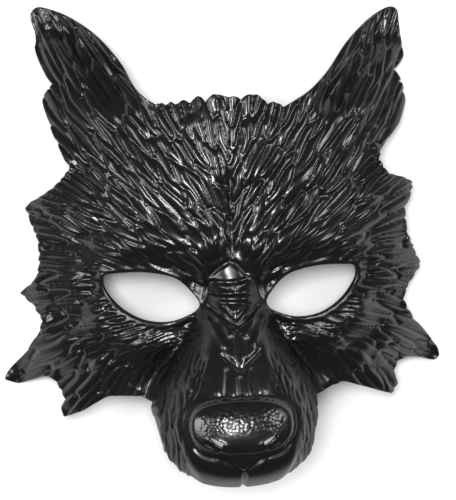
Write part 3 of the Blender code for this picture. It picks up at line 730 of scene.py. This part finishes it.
class Face:
    """The mask's form as heights over the surface, worked out from its sizes."""

    def __init__(self, sizes):
        self.sizes = sizes
        self.half_width = sizes.width / 2
        self.half_height = sizes.height / 2

    def places(self, shares):
        """Turn x, y shares into metres from the middle line."""
        return np.array(shares) * (self.half_width, self.half_height) + (self.sizes.midline, 0.0)

    def sheet(self, across, y):
        """The broad face: the middle line's height less a drop times the share of the way out ** 2.2."""
        place, middle, drop = columns(SHEET_ROWS)
        share = y / self.half_height
        widest = self.half_width - self.sizes.midline * np.sign(across)
        fall = (np.abs(across) / widest) ** SHEET_POWER
        crest = curve_through(place, middle, share) - curve_through(place, drop, share) * fall
        return self.sizes.brow * crest

    def snout_section(self, y):
        """Half width, ridge height and share of the way round the front end at y."""
        place, half, ridge = columns(SNOUT_ROWS)
        share = y / self.half_height
        half_width = self.sizes.snout_width / 2 * curve_through(place, half, share)
        ridge_height = self.sizes.snout_height * curve_through(place, ridge, share)
        front = WALL_START * np.clip((SNOUT_FRONT - share) / (1 + SNOUT_FRONT), 0.0, None)
        return half_width, ridge_height, front

    def snout(self, across, y):
        """The snout: a superellipse's quarter as its roof, then a steep straight wall."""
        half_width, ridge_height, front = self.snout_section(y)
        power = SNOUT_PLAN_POWER
        reach = ((np.abs(across) / half_width) ** power + front ** power) ** (1 / power)
        roof = np.minimum(reach, WALL_START)
        drop = self.sizes.snout_rounding * (1 - np.sqrt(1 - roof ** SNOUT_TOP_POWER))
        wall = WALL_SLOPE * np.maximum(reach - WALL_START, 0.0) * half_width
        return ridge_height - drop - wall

    def plain(self, x, y, throat=None):
        """The sheet and the snout, blended. Past the cheeks the sheet drops by the throat's depth."""
        sizes = self.sizes
        depth = sizes.throat_depth if throat is None else throat
        across = x - sizes.midline
        behind = np.clip((LIP_START * self.half_height - y) / sizes.throat_edge, 0.0, 1.0)
        under = np.clip((sizes.throat_width - np.abs(across)) / sizes.throat_edge, 0.0, 1.0)
        sheet = self.sheet(across, y) - depth * behind * under
        return blend_higher(sheet, self.snout(across, y), sizes.sheet_blend)

    def table_lines(self, rows):
        """Each table row's centre line in metres, with its last two values, for each side it is on."""
        for _, sides, x1, y1, x2, y2, x3, y3, width, height in rows:
            line = bow((x1, y1), (x2, y2), (x3, y3), CURVE_STEPS)
            for side, sign in (("left", -1.0), ("right", 1.0), ("middle", 1.0)):
                if sides == side or (sides == "both" and side != "middle"):
                    yield self.places(line * (sign, 1.0)), width, height

    def nose_oval(self, x, y):
        """How far out a place is on the nose pad: 0 at its middle, 1 on its edge, a superellipse."""
        across = np.abs(x - self.sizes.midline) / (self.sizes.nose_width / 2)
        along = np.abs(y - NOSE_PLACE * self.half_height) / (self.sizes.nose_length / 2)
        return (across ** NOSE_POWER + along ** NOSE_POWER) ** (1 / NOSE_POWER)

    def height(self, x, y):
        """The plain form with folds, nose pad and eye rims, levelled out where it meets the surface.

        A fold is its height times a soft step of the share of its width that is left. The pad is a soft
        step over its edge, less a dome as the square of the oval, less a groove as a bell curve.
        """
        sizes = self.sizes
        points = np.column_stack([x, y])
        oval = self.nose_oval(x, y)
        inward = (1 - oval) * sizes.nose_width / 2
        groove = np.exp(-(inward / NOSE_GROOVE_WIDTH) ** 2)
        dome = np.minimum(oval, NOSE_OVAL_LIMIT) ** 2 * soft_step(inward / NOSE_DOME_BLEND + 0.5)
        height = self.plain(x, y) + sizes.nose_rise * soft_step(inward / sizes.nose_edge + 0.5)
        height -= sizes.nose_dome * dome + sizes.nose_groove * groove
        for line, width, rise in self.table_lines(FOLDS):
            reach = width * sizes.fold_width
            near = close_to(points, line, reach)
            gap, along = along_line(points[near], line)
            ends = fade_ends(along, FOLD_START, FOLD_END)
            height[near] += rise * sizes.fold_height * ends * (1 - soft_step(np.abs(gap) / reach))
        for eye in self.eyes(sizes.eye_rim_width / 2):
            ring = np.vstack([eye, eye[:1]])
            near = close_to(points, ring, sizes.eye_rim_width)
            gap, _ = along_line(points[near], ring)
            height[near] += sizes.eye_rim * (1 - soft_step(np.abs(gap) / sizes.eye_rim_width))
        return blend_higher(height, sizes.wall, sizes.foot_rounding)

    def lip(self, spacing):
        """The snout's free edge in plan: where its wall has come down to the lip's height."""
        sizes = self.sizes
        start = LIP_START * self.half_height
        y = np.linspace(start, -1.1 * self.half_height, LIP_STEPS)
        half_width, ridge_height, front = self.snout_section(y)
        lip = sizes.lip_height + sizes.lip_rise * soft_step((start - y) / (start + self.half_height))
        roof_drop = sizes.snout_rounding * (1 - math.sqrt(1 - WALL_START ** SNOUT_TOP_POWER))
        reach = WALL_START + (ridge_height - roof_drop - lip) / (WALL_SLOPE * half_width)
        power = SNOUT_PLAN_POWER
        across = half_width * np.clip(reach ** power - front ** power, 0.0, None) ** (1 / power)
        last = int(np.argmax(across <= 0)) + 1
        right = np.column_stack([across, y])[:last]
        left = (right * (-1.0, 1.0))[-2::-1]
        line = np.vstack([right, left]) + (sizes.midline, 0.0)
        travelled = np.concatenate([[0.0], np.cumsum(np.linalg.norm(np.diff(line, axis=0), axis=1))])
        steps = 2 * int(round(travelled[-1] / spacing / 2))
        spots = np.linspace(0.0, travelled[-1], steps + 1)
        return np.column_stack([np.interp(spots, travelled, line[:, k]) for k in range(2)])

    def outline(self, spacing):
        """The mask's outer edge in plan, as one closed loop."""
        rows = LEFT_CHEEK + LEFT_EAR + FOREHEAD + RIGHT_EAR + RIGHT_CHEEK
        scaled = [(x * self.half_width, y * self.half_height, bend) for x, y, bend in rows]
        return np.vstack([round_through(scaled, spacing, closed=False), self.lip(spacing)])

    def eyes(self, spacing):
        """The two eye holes in plan."""
        sizes = self.sizes
        rows = [(x * sizes.eye_width / 2, y * sizes.eye_height / 2, bend) for x, y, bend in EYE_ROWS]
        eye = round_through(rows, spacing)
        centre = EYE_PLACE * self.half_height
        return [eye * (sign, 1.0) + (sizes.midline + sign * sizes.eye_spread, centre)
                for sign in (-1.0, 1.0)]

    def nostrils(self, spacing):
        """The two nostril slots in plan."""
        sizes = self.sizes
        rows = [(x * sizes.nostril_length, y * sizes.nostril_length, bend) for x, y, bend in NOSTRIL_ROWS]
        slot = round_through(rows, spacing)
        centre = NOSTRIL_PLACE * self.half_height
        return [slot * (sign, 1.0) + (sizes.midline + sign * sizes.nostril_spread, centre)
                for sign in (-1.0, 1.0)]


class Layout:
    """The face laid out flat.

    A place on it is the length over the plain form from the middle line, and the length down the
    middle line itself, counted negative from the ears to the lip.
    """

    ROW_STEP = 0.0006
    FINE = 900

    def __init__(self, face):
        self.midline = face.sizes.midline
        self.y_fine = np.linspace(MARGIN * face.half_height, -MARGIN * face.half_height, self.FINE)
        crest = face.plain(np.full(self.FINE, self.midline), self.y_fine)
        pieces = np.hypot(np.diff(self.y_fine), np.diff(crest))
        self.along_fine = np.concatenate([[0.0], np.cumsum(pieces)])
        rows = int(self.along_fine[-1] / self.ROW_STEP) + 2
        self.along = np.linspace(0.0, self.along_fine[-1], rows)
        row_y = np.interp(self.along, self.along_fine, self.y_fine)
        self.out = np.linspace(0.0, MARGIN * face.half_width, self.FINE)
        heights = face.plain(self.midline + self.out[None, :], row_y[:, None], throat=0.0)
        pieces = np.hypot(np.diff(self.out)[None, :], np.diff(heights, axis=1))
        self.reach = np.hstack([np.zeros((rows, 1)), np.cumsum(pieces, axis=1)])
        self.across = np.arange(0.0, self.reach[:, -1].max(), self.ROW_STEP)
        self.out_at = np.array([np.interp(self.across, row, self.out) for row in self.reach])

    @staticmethod
    def read(table, row, column):
        """Read a table between its rows and columns, each as a weighted mean of its neighbours."""
        i = np.clip(row.astype(int), 0, table.shape[0] - 2)
        j = np.clip(column.astype(int), 0, table.shape[1] - 2)
        a, b = np.clip(row - i, 0.0, 1.0), np.clip(column - j, 0.0, 1.0)
        upper = table[i, j] * (1 - b) + table[i, j + 1] * b
        lower = table[i + 1, j] * (1 - b) + table[i + 1, j + 1] * b
        return upper * (1 - a) + lower * a

    def flatten(self, points):
        """Places in plan as places on the flat layout."""
        away = points[:, 0] - self.midline
        along = np.interp(-points[:, 1], -self.y_fine, self.along_fine)
        row = along / self.along[1]
        column = np.abs(away) / self.out[1]
        across = self.read(self.reach, row, column)
        return np.column_stack([np.sign(away) * across, -along])

    def stand(self, flat):
        """Places on the flat layout as places in plan."""
        row = -flat[:, 1] / self.along[1]
        column = np.abs(flat[:, 0]) / self.across[1]
        away = self.read(self.out_at, row, column)
        y = np.interp(-flat[:, 1], self.along_fine, self.y_fine)
        return np.column_stack([self.midline + np.sign(flat[:, 0]) * away, y])


def grid_inside(xs, ys, loop):
    """Which points of a grid lie inside a closed loop: those with an odd number of crossings on the left."""
    a, b = loop, np.roll(loop, -1, axis=0)
    found = np.zeros((len(ys), len(xs)), dtype=bool)
    for k, y in enumerate(ys):
        crossed = (a[:, 1] > y) != (b[:, 1] > y)
        start, end = a[crossed], b[crossed]
        where = start[:, 0] + (y - start[:, 1]) * (end[:, 0] - start[:, 0]) / (end[:, 1] - start[:, 1])
        found[k] = np.searchsorted(np.sort(where), xs) % 2 == 1
    return found


def points_inside(points, loop):
    """Which points lie inside a closed loop, by the same count of crossings."""
    found = np.zeros(len(points), dtype=bool)
    a, b = loop, np.roll(loop, -1, axis=0)
    for block in np.array_split(np.arange(len(points)), max(1, len(points) // 3000)):
        x, y = points[block, :1], points[block, 1:]
        crosses = (a[:, 1] > y) != (b[:, 1] > y)
        rise = np.where(b[:, 1] == a[:, 1], 1e-12, b[:, 1] - a[:, 1])
        where = a[:, 0] + (y - a[:, 1]) * (b[:, 0] - a[:, 0]) / rise
        found[block] = (crosses & (x < where)).sum(axis=1) % 2 == 1
    return found


def fill_loops(loops, step):
    """A flat sheet of square facets inside the first loop and outside the others.

    The facets are the whole cells of a square grid. Triangles fill the strip between them and the
    loops. Returns the points, the loops' own points first, and the facets as squares and triangles.
    """
    rim = np.vstack(loops)
    low, high = loops[0].min(axis=0) - 2 * step, loops[0].max(axis=0) + 2 * step
    xs, ys = np.arange(low[0], high[0], step), np.arange(low[1], high[1], step)
    rows, cols = len(ys), len(xs)
    good = grid_inside(xs, ys, loops[0])
    for loop in loops[1:]:
        good &= ~grid_inside(xs, ys, loop)
    ends = np.vstack([np.roll(loop, -1, axis=0) for loop in loops])
    cut = np.zeros((rows - 1, cols - 1), dtype=bool)
    for share in np.linspace(0.0, 1.0, 5)[:-1]:
        spot = ((rim + (ends - rim) * share - low) / step).astype(int)
        cut[spot[:, 1], spot[:, 0]] = True
    nearest = np.round((rim - low) / step).astype(int)
    for down in (-1, 0, 1):
        for over in (-1, 0, 1):
            row, col = nearest[:, 1] + down, nearest[:, 0] + over
            gap = np.hypot(xs[col] - rim[:, 0], ys[row] - rim[:, 1])
            close = gap < 0.5 * step
            good[row[close], col[close]] = False
    cells = good[:-1, :-1] & good[1:, :-1] & good[:-1, 1:] & good[1:, 1:] & ~cut
    number = np.arange(rows * cols).reshape(rows, cols)
    squares = np.column_stack([
        number[:-1, :-1][cells], number[:-1, 1:][cells], number[1:, 1:][cells], number[1:, :-1][cells]])
    touched = np.zeros((rows, cols), dtype=int)
    for down, over in ((0, 0), (0, 1), (1, 0), (1, 1)):
        touched[down:rows - 1 + down, over:cols - 1 + over] += cells
    strip = np.nonzero((good & (touched < 4)).ravel())[0]
    grid = np.column_stack([np.tile(xs, rows), np.repeat(ys, cols)])

    sides = np.vstack([squares[:, [k, (k + 1) % 4]] for k in range(4)])
    key = np.sort(sides, axis=1) @ np.array([rows * cols, 1])
    _, first, count = np.unique(key, return_index=True, return_counts=True)
    border = sides[first[count == 1]]
    place = np.full(rows * cols, -1)
    place[strip] = len(rim) + np.arange(len(strip))
    starts = np.cumsum([0] + [len(loop) for loop in loops])
    ring = np.vstack([
        np.column_stack([np.arange(a, b), np.roll(np.arange(a, b), -1)])
        for a, b in zip(starts[:-1], starts[1:])])
    edges = np.vstack([ring, place[border]])
    points = np.vstack([rim, grid[strip]])
    found = delaunay_2d_cdt(points.tolist(), edges.tolist(), [], 0, 1e-9)
    if len(found[0]) != len(points):
        raise RuntimeError("the strip along the mask's edge has points that fall together")
    source = np.concatenate(found[3])
    triangles = source[np.array(found[2])]
    middles = points[triangles].mean(axis=1)
    wanted = points_inside(middles, loops[0])
    for loop in loops[1:]:
        wanted &= ~points_inside(middles, loop)
    spot = np.clip(((middles - low) / step).astype(int), 0, [cols - 2, rows - 2])
    wanted &= ~cells[spot[:, 1], spot[:, 0]]
    triangles = triangles[wanted]

    inner = np.nonzero((touched == 4).ravel())[0]
    place[inner] = len(points) + np.arange(len(inner))
    return np.vstack([points, grid[inner]]), place[squares], triangles


def surface_normals(layout, surface, flat):
    """Normals of a surface over the flat layout: the cross product of small steps across and along."""
    ways = []
    for shift in ((NORMAL_STEP, 0.0), (0.0, NORMAL_STEP)):
        ends = []
        for sign in (-1.0, 1.0):
            plan = layout.stand(flat + np.array(shift) * sign)
            ends.append(np.column_stack([plan, surface(plan[:, 0], plan[:, 1])]))
        ways.append(ends[1] - ends[0])
    normals = np.cross(ways[0], ways[1])
    return normals / np.maximum(np.linalg.norm(normals, axis=1, keepdims=True), 1e-12)


def flow_at(face, points):
    """Direction, length, half width and height of the fur at places in plan.

    Each is the mean of FUR_FLOW's rows, weighted by the inverse cube of the distance to them.
    """
    x, y, direction, length, half, height = columns(FUR_FLOW)
    shares = (points - (face.sizes.midline, 0.0)) / (face.half_width, face.half_height)
    gap = np.hypot(np.abs(shares[:, :1]) - x, shares[:, 1:] - y)
    weight = 1 / (gap ** 2 + FLOW_SOFTENING) ** 1.5
    weight /= weight.sum(axis=1, keepdims=True)
    side = np.where(shares[:, 0] < 0, -1.0, 1.0)
    turn = np.radians(weight @ direction)
    way = np.column_stack([side * np.sin(turn), np.cos(turn)])
    return way, weight @ length * 0.001, weight @ half * 0.001, weight @ height


def fur_roots(face, fur, outline, random):
    """Places for the locks' middles, picked at random and kept clear of the ones before.

    A place is dropped where an ellipse round it, as long as part of a lock and as wide as one, holds
    an earlier place.
    """
    tries = random.uniform(-1.0, 1.0, (FUR_TRIES, 2)) * (face.half_width, face.half_height)
    tries = tries[points_inside(tries, outline)]
    tries = tries[fur_share(face, tries[:, 0], tries[:, 1]) > LEAST_FUR]
    tries = tries[np.abs(tries[:, 0] - face.sizes.midline) > PARTING_GAP]
    way, length, half, _ = flow_at(face, tries)
    kept = np.zeros((len(tries), 2))
    count = 0
    for spot, (dx, dy), long, wide in zip(tries, way, length, half):
        offset = kept[:count] - spot
        ahead = (offset[:, 0] * dx + offset[:, 1] * dy) / (ROOM_ALONG * long * fur.length)
        beside = (offset[:, 0] * dy - offset[:, 1] * dx) / (ROOM_ACROSS * wide * fur.width)
        if not (ahead ** 2 + beside ** 2 < 1).any():
            kept[count] = spot
            count += 1
    return kept[:count]


def fur_locks(face, layout, fur, outline):
    """Each lock's centre line on the flat layout, its half width, height share and sideways slant.

    From its middle a lock is followed both ways along the flow, in equal steps in plan, turned off
    the flow by a sine of the way gone.
    """
    random = np.random.default_rng(fur.seed)
    middles = fur_roots(face, fur, outline, random)
    _, length, half, height = flow_at(face, middles)
    length = length * random.uniform(*SIZE_SPREAD, len(middles)) * fur.length
    half = half * random.uniform(*SIZE_SPREAD, len(middles)) * fur.width
    height = height * random.uniform(*HEIGHT_SPREAD, len(middles))
    bend = random.uniform(-LARGEST_BEND, LARGEST_BEND, len(middles))
    phase = random.uniform(0.0, 2 * np.pi, len(middles))
    halves = []
    for sign in (-1.0, 1.0):
        spot = middles.copy()
        path = [spot]
        for k in range(LOCK_STEPS // 2):
            way, _, _, _ = flow_at(face, spot)
            turn = bend * np.sin(phase + sign * (k + 0.5) * BEND_STEP)
            turned = np.column_stack([way[:, 0] * np.cos(turn) - way[:, 1] * np.sin(turn),
                                      way[:, 0] * np.sin(turn) + way[:, 1] * np.cos(turn)])
            spot = spot + sign * turned * (length / LOCK_STEPS)[:, None]
            path.append(spot)
        halves.append(path)
    path = np.stack(halves[0][:0:-1] + halves[1])
    flat = [layout.flatten(step) for step in path]
    slant = random.uniform(-1.0, 1.0, len(middles)) * fur.slant
    locks = list(zip(np.stack(flat, axis=1), half, height, slant))
    for line, width, rise in face.table_lines(FUR_TUFTS):
        locks.append((layout.flatten(line), width * 0.001, rise, 0.0))
    return locks


def fur_relief(face, layout, fur, flat, outline):
    """Height of the fur on the flat layout.

    A lock's claim on a place is 1 less the square of the distance to its centre line over its half
    width, less the cube of how far along it the place is, from 0 at its middle to 1 at its ends. A
    place goes to the highest claim. Its distance to the valley is the lead over the second claim over
    the sum of both claims' slopes, and the lock stands 1 less the exponential of minus that distance
    over the valley's width, so its top is nearly flat and its valleys are sharp.
    """
    claims = np.full((2, len(flat)), FLOOR_CLAIM)
    slopes = np.zeros((2, len(flat)))
    crests = np.zeros(len(flat))
    for line, half, height, slant in fur_locks(face, layout, fur, outline):
        near = close_to(flat, line, CLAIM_REACH * half)
        gap, along = along_line(flat[near], line)
        end = 2 * along - 1
        claim = 1 - (gap / half) ** 2 - np.abs(end) ** 3
        slope = 2 * np.abs(gap) / half ** 2
        ahead = claim > claims[0, near]
        beaten = ~ahead & (claim > claims[1, near])
        chosen = near[ahead]
        claims[1, chosen], slopes[1, chosen] = claims[0, chosen], slopes[0, chosen]
        claims[0, chosen], slopes[0, chosen] = claim[ahead], slope[ahead]
        claims[1, near[beaten]], slopes[1, near[beaten]] = claim[beaten], slope[beaten]
        top = height * (fur.height * (1 - END_DROP * end ** 2) + fur.step * along) + slant * gap
        crests[chosen] = top[ahead]
    distance = (claims[0] - claims[1]) / (slopes[0] + slopes[1] + LEAST_SLOPE)
    return crests * (1 - np.exp(-distance / fur.valley))


def bridge_relief(face, layout, flat):
    """Height of the ridges and grooves of the bridge, nose and lip, each a soft step of its width."""
    relief = np.zeros(len(flat))
    for line, width, height in face.table_lines(BRIDGE_LINES):
        line = layout.flatten(line)
        reach = width * 0.001
        near = close_to(flat, line, reach)
        gap, along = along_line(flat[near], line)
        ends = fade_ends(along, LINE_END, LINE_END)
        relief[near] += 0.001 * height * ends * (1 - soft_step(np.abs(gap) / reach))
    return relief


def fur_share(face, x, y):
    """Share of the fur that shows: none on the bridge, the nose pad and close round the eyes."""
    sizes = face.sizes
    points = np.column_stack([x, y])
    place, bare = columns(BARE_ROWS)
    edge = curve_through(place, bare, y / face.half_height)
    away = np.abs(x - sizes.midline) / face.half_width
    off_nose = soft_step((face.nose_oval(x, y) - NOSE_FUR_START) / NOSE_FUR_BLEND)
    share = soft_step((away - edge) / BARE_BLEND) * off_nose
    for eye in face.eyes(sizes.eye_rim_width / 2):
        ring = np.vstack([eye, eye[:1]])
        near = close_to(points, ring, EYE_FUR_REACH)
        gap, _ = along_line(points[near], ring)
        share[near] *= soft_step((np.abs(gap) - EYE_FUR_START) / EYE_FUR_BLEND)
    return share


def build_shell(face, layout, fur, name):
    """The whole mask as one closed mesh: fine front, plain inner side and a rounded edge between.

    The front is the face's height with the relief added along the normals. The inner side is the
    height less the wall along the normals, and the edge's middle row lies halfway between the two.
    """
    sizes = face.sizes
    step = sizes.front_step
    plan_loops = [face.outline(step)] + face.eyes(step) + face.nostrils(step)
    loops = []
    for k, loop in enumerate(plan_loops):
        flat = layout.flatten(loop)
        turned = np.roll(flat, -1, axis=0)
        area = (flat[:, 0] * turned[:, 1] - flat[:, 1] * turned[:, 0]).sum()
        loops.append(flat if (area > 0) == (k == 0) else flat[::-1])
    flat, squares, triangles = fill_loops(loops, step)
    plan = layout.stand(flat)
    x, y = plan[:, 0], plan[:, 1]
    smooth = np.column_stack([plan, face.height(x, y)])

    def footed(px, py):
        return blend_higher(face.plain(px, py), sizes.wall, sizes.foot_rounding)

    normals = surface_normals(layout, footed, flat)
    locks = fur_relief(face, layout, fur, flat, plan_loops[0])
    share = fur_share(face, x, y)
    relief = locks * share - fur.sink * share + bridge_relief(face, layout, flat)
    front = smooth + normals * relief[:, None]
    rim_count = sum(len(loop) for loop in loops)

    back_flat, back_squares, back_triangles = fill_loops(loops, sizes.back_step)
    back_plan = layout.stand(back_flat)
    back = np.column_stack([back_plan, face.height(back_plan[:, 0], back_plan[:, 1])])
    back = back - surface_normals(layout, footed, back_flat) * sizes.wall

    middle = (front[:rim_count] + back[:rim_count]) / 2
    low, high = np.array(SHELL_LOW), np.array(SHELL_HIGH)
    points = np.clip(np.vstack([front, back, middle]), low, high)
    back_first = len(front)
    middle_first = back_first + len(back)
    starts = np.cumsum([0] + [len(loop) for loop in loops])
    ring = np.vstack([
        np.column_stack([np.arange(a, b), np.roll(np.arange(a, b), -1)])
        for a, b in zip(starts[:-1], starts[1:])])
    a, b = ring[:, 0], ring[:, 1]
    upper = np.column_stack([b, a, a + middle_first, b + middle_first])
    lower = np.column_stack([b + middle_first, a + middle_first, a + back_first, b + back_first])
    fours = np.vstack([squares, back_squares[:, ::-1] + back_first, upper, lower])
    threes = np.vstack([triangles, back_triangles[:, ::-1] + back_first])

    mesh = bpy.data.meshes.new(name)
    mesh.from_pydata(points.tolist(), [], fours.tolist() + threes.tolist())
    mesh.shade_smooth()
    total = len(points)
    pad = np.zeros(total)
    on_top = soft_step((y / face.half_height - NOSE_PLACE + LEATHER_START) / LEATHER_BLEND)
    within = soft_step((LEATHER_OVAL - face.nose_oval(x, y)) / LEATHER_OVAL_BLEND)
    pad[:back_first] = within * on_top
    steep = np.ones(total)
    steep[:back_first] = soft_step((STEEP_START - normals[:, 2]) / STEEP_BLEND)
    write_attribute(mesh, "nose_share", pad)
    write_attribute(mesh, "steep_share", steep)
    return mesh


def write_attribute(mesh, name, values):
    """Put one number for each point into the mesh, for the material to read."""
    attribute = mesh.attributes.new(name, "FLOAT", "POINT")
    attribute.data.foreach_set("value", values.astype(np.float32))


def plastic_material(finish):
    """Glossy black plastic with a fine grain, and leather bumps on the nose."""
    material = bpy.data.materials.new("wolf_mask_black_plastic")
    material.use_nodes = True
    nodes, links = material.node_tree.nodes, material.node_tree.links
    shader = nodes["Principled BSDF"]
    shader.inputs["Base Color"].default_value = (*finish.colour, 1.0)

    coordinates = nodes.new("ShaderNodeTexCoord")
    nose = nodes.new("ShaderNodeAttribute")
    nose.attribute_name = "nose_share"

    cloud = nodes.new("ShaderNodeTexNoise")
    cloud.inputs["Scale"].default_value = CLOUD_SCALE
    cloud.inputs["Detail"].default_value = 3.0
    links.new(coordinates.outputs["Object"], cloud.inputs["Vector"])
    shine = nodes.new("ShaderNodeMapRange")
    shine.inputs["To Min"].default_value = finish.roughness + SMOOTHEST
    shine.inputs["To Max"].default_value = finish.roughness + ROUGHEST
    links.new(cloud.outputs["Fac"], shine.inputs["Value"])
    steep = nodes.new("ShaderNodeAttribute")
    steep.attribute_name = "steep_share"
    satin = nodes.new("ShaderNodeMath")
    satin.operation = "MULTIPLY_ADD"
    satin.inputs[1].default_value = STEEP_ROUGHER
    links.new(steep.outputs["Fac"], satin.inputs[0])
    links.new(shine.outputs["Result"], satin.inputs[2])
    links.new(satin.outputs["Value"], shader.inputs["Roughness"])
    dull = nodes.new("ShaderNodeMapRange")
    dull.inputs["To Min"].default_value = LEVEL_SHINE
    dull.inputs["To Max"].default_value = STEEP_SHINE
    links.new(steep.outputs["Fac"], dull.inputs["Value"])
    links.new(dull.outputs["Result"], shader.inputs["Specular IOR Level"])

    grain = nodes.new("ShaderNodeTexNoise")
    grain.inputs["Scale"].default_value = GRAIN_SCALE
    grain.inputs["Detail"].default_value = 2.0
    links.new(coordinates.outputs["Object"], grain.inputs["Vector"])
    grain_bump = nodes.new("ShaderNodeBump")
    grain_bump.inputs["Strength"].default_value = finish.grain
    grain_bump.inputs["Distance"].default_value = GRAIN_DEPTH
    links.new(grain.outputs["Fac"], grain_bump.inputs["Height"])

    skin = nodes.new("ShaderNodeTexVoronoi")
    skin.inputs["Scale"].default_value = SKIN_SCALE
    links.new(coordinates.outputs["Object"], skin.inputs["Vector"])
    amount = nodes.new("ShaderNodeMath")
    amount.operation = "MULTIPLY"
    amount.inputs[1].default_value = finish.leather
    links.new(nose.outputs["Fac"], amount.inputs[0])
    skin_bump = nodes.new("ShaderNodeBump")
    skin_bump.invert = True
    skin_bump.inputs["Distance"].default_value = SKIN_DEPTH
    links.new(amount.outputs["Value"], skin_bump.inputs["Strength"])
    links.new(skin.outputs["Distance"], skin_bump.inputs["Height"])
    links.new(grain_bump.outputs["Normal"], skin_bump.inputs["Normal"])
    links.new(skin_bump.outputs["Normal"], shader.inputs["Normal"])
    return material


def plain_material(name, colour, roughness):
    """A material of one plain colour."""
    material = bpy.data.materials.new(name)
    material.use_nodes = True
    shader = material.node_tree.nodes["Principled BSDF"]
    shader.inputs["Base Color"].default_value = (*colour, 1.0)
    shader.inputs["Roughness"].default_value = roughness
    return material


class WOLFMASK_OT_shell(bpy.types.Operator):
    """Build the moulded mask with its fur, bridge and nose."""

    bl_idname = "wolf_mask.shell"
    bl_label = "Build mask"

    def execute(self, context):
        face = Face(context.scene.wolf_mask_form)
        layout = Layout(face)
        mesh = build_shell(face, layout, context.scene.wolf_mask_fur, "wolf_mask")
        if not mesh.polygons:
            raise RuntimeError("the mask has no facets")
        mask = bpy.data.objects.new("wolf_mask", mesh)
        context.collection.objects.link(mask)
        mesh.materials.append(plastic_material(context.scene.wolf_mask_finish))
        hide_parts("mask_shell")
        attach(mask, "root")
        return {"FINISHED"}


class WOLFMASK_OT_stage(bpy.types.Operator):
    """Set up the camera, the pale floor and the soft light."""

    bl_idname = "wolf_mask.stage"
    bl_label = "Set up stage"

    def execute(self, context):
        stage = context.scene.wolf_mask_stage
        self.add_camera(context, stage)
        self.add_floor(context, stage)
        for name, place, size, power in SOFTBOXES:
            self.add_softbox(context, name, place, size, getattr(stage, power))
        world = bpy.data.worlds.new("pale_studio")
        world.use_nodes = True
        sky = world.node_tree.nodes["Background"]
        sky.inputs["Color"].default_value = (1.0, 1.0, 1.0, 1.0)
        sky.inputs["Strength"].default_value = stage.sky
        context.scene.world = world
        context.scene.view_settings.view_transform = "Standard"
        return {"FINISHED"}

    @staticmethod
    def add_camera(context, stage):
        """Look at the target from straight above, tilted, turned and rolled."""
        yaw, pitch, roll = stage.turn, stage.tilt, stage.roll
        back = Vector((math.sin(yaw) * math.cos(pitch), math.sin(pitch), math.cos(yaw) * math.cos(pitch)))
        right = Vector((math.cos(yaw), 0.0, -math.sin(yaw)))
        up = back.cross(right)
        turned_right = right * math.cos(roll) + up * math.sin(roll)
        turned_up = up * math.cos(roll) - right * math.sin(roll)
        camera = bpy.data.objects.new("photo_camera", bpy.data.cameras.new("photo_camera"))
        place = Vector(stage.target) + back * stage.distance
        axes = Matrix((turned_right, turned_up, back)).transposed()
        camera.matrix_world = Matrix.LocRotScale(place, axes.to_quaternion(), None)
        camera.data.lens = stage.lens
        camera.data.clip_start = NEAREST_SEEN
        context.collection.objects.link(camera)
        context.scene.camera = camera

    @staticmethod
    def add_floor(context, stage):
        """A wide flat sheet under the mask."""
        half = FLOOR_HALF
        mesh = bpy.data.meshes.new("pale_floor")
        corners = [(-half, -half, 0.0), (half, -half, 0.0), (half, half, 0.0), (-half, half, 0.0)]
        mesh.from_pydata(corners, [], [(0, 1, 2, 3)])
        floor = bpy.data.objects.new("pale_floor", mesh)
        context.collection.objects.link(floor)
        mesh.materials.append(plain_material("pale_floor", stage.floor_colour, FLOOR_ROUGHNESS))

    @staticmethod
    def add_softbox(context, name, place, size, power):
        """A square area light that points at the mask."""
        light = bpy.data.lights.new(name, "AREA")
        light.shape = "SQUARE"
        light.size = size
        light.energy = power
        lamp = bpy.data.objects.new(name, light)
        way = Vector(LIGHT_AIM) - Vector(place)
        lamp.matrix_world = Matrix.LocRotScale(Vector(place), way.to_track_quat("-Z", "Y"), None)
        context.collection.objects.link(lamp)


class WOLFMASK_PT_panel(bpy.types.Panel):
    """Buttons and sizes of the wolf mask."""

    bl_idname = "WOLFMASK_PT_panel"
    bl_label = "Wolf mask"
    bl_space_type = "VIEW_3D"
    bl_region_type = "UI"
    bl_category = "Wolf mask"

    def draw(self, context):
        layout = self.layout
        for operator in OPERATORS:
            layout.operator(operator.bl_idname)
        for name in GROUPS:
            group = getattr(context.scene, name)
            column = layout.column()
            for item in type(group).__annotations__:
                column.prop(group, item)


GROUPS = {
    "wolf_mask_form": WolfMaskForm,
    "wolf_mask_fur": WolfMaskFur,
    "wolf_mask_finish": WolfMaskFinish,
    "wolf_mask_stage": WolfMaskStage,
}
OPERATORS = (WOLFMASK_OT_shell, WOLFMASK_OT_stage)


def register():
    """Register the sizes, the operators and the panel."""
    for name, group in GROUPS.items():
        bpy.utils.register_class(group)
        setattr(bpy.types.Scene, name, PointerProperty(type=group))
    for operator in OPERATORS:
        bpy.utils.register_class(operator)
    bpy.utils.register_class(WOLFMASK_PT_panel)


def unregister():
    """Take them away again."""
    bpy.utils.unregister_class(WOLFMASK_PT_panel)
    for operator in reversed(OPERATORS):
        bpy.utils.unregister_class(operator)
    for name, group in reversed(GROUPS.items()):
        delattr(bpy.types.Scene, name)
        bpy.utils.unregister_class(group)


def main():
    """Build the mask and its stage."""
    register()
    bpy.ops.wolf_mask.shell()
    bpy.ops.wolf_mask.stage()


if __name__ == "__main__":
    main()
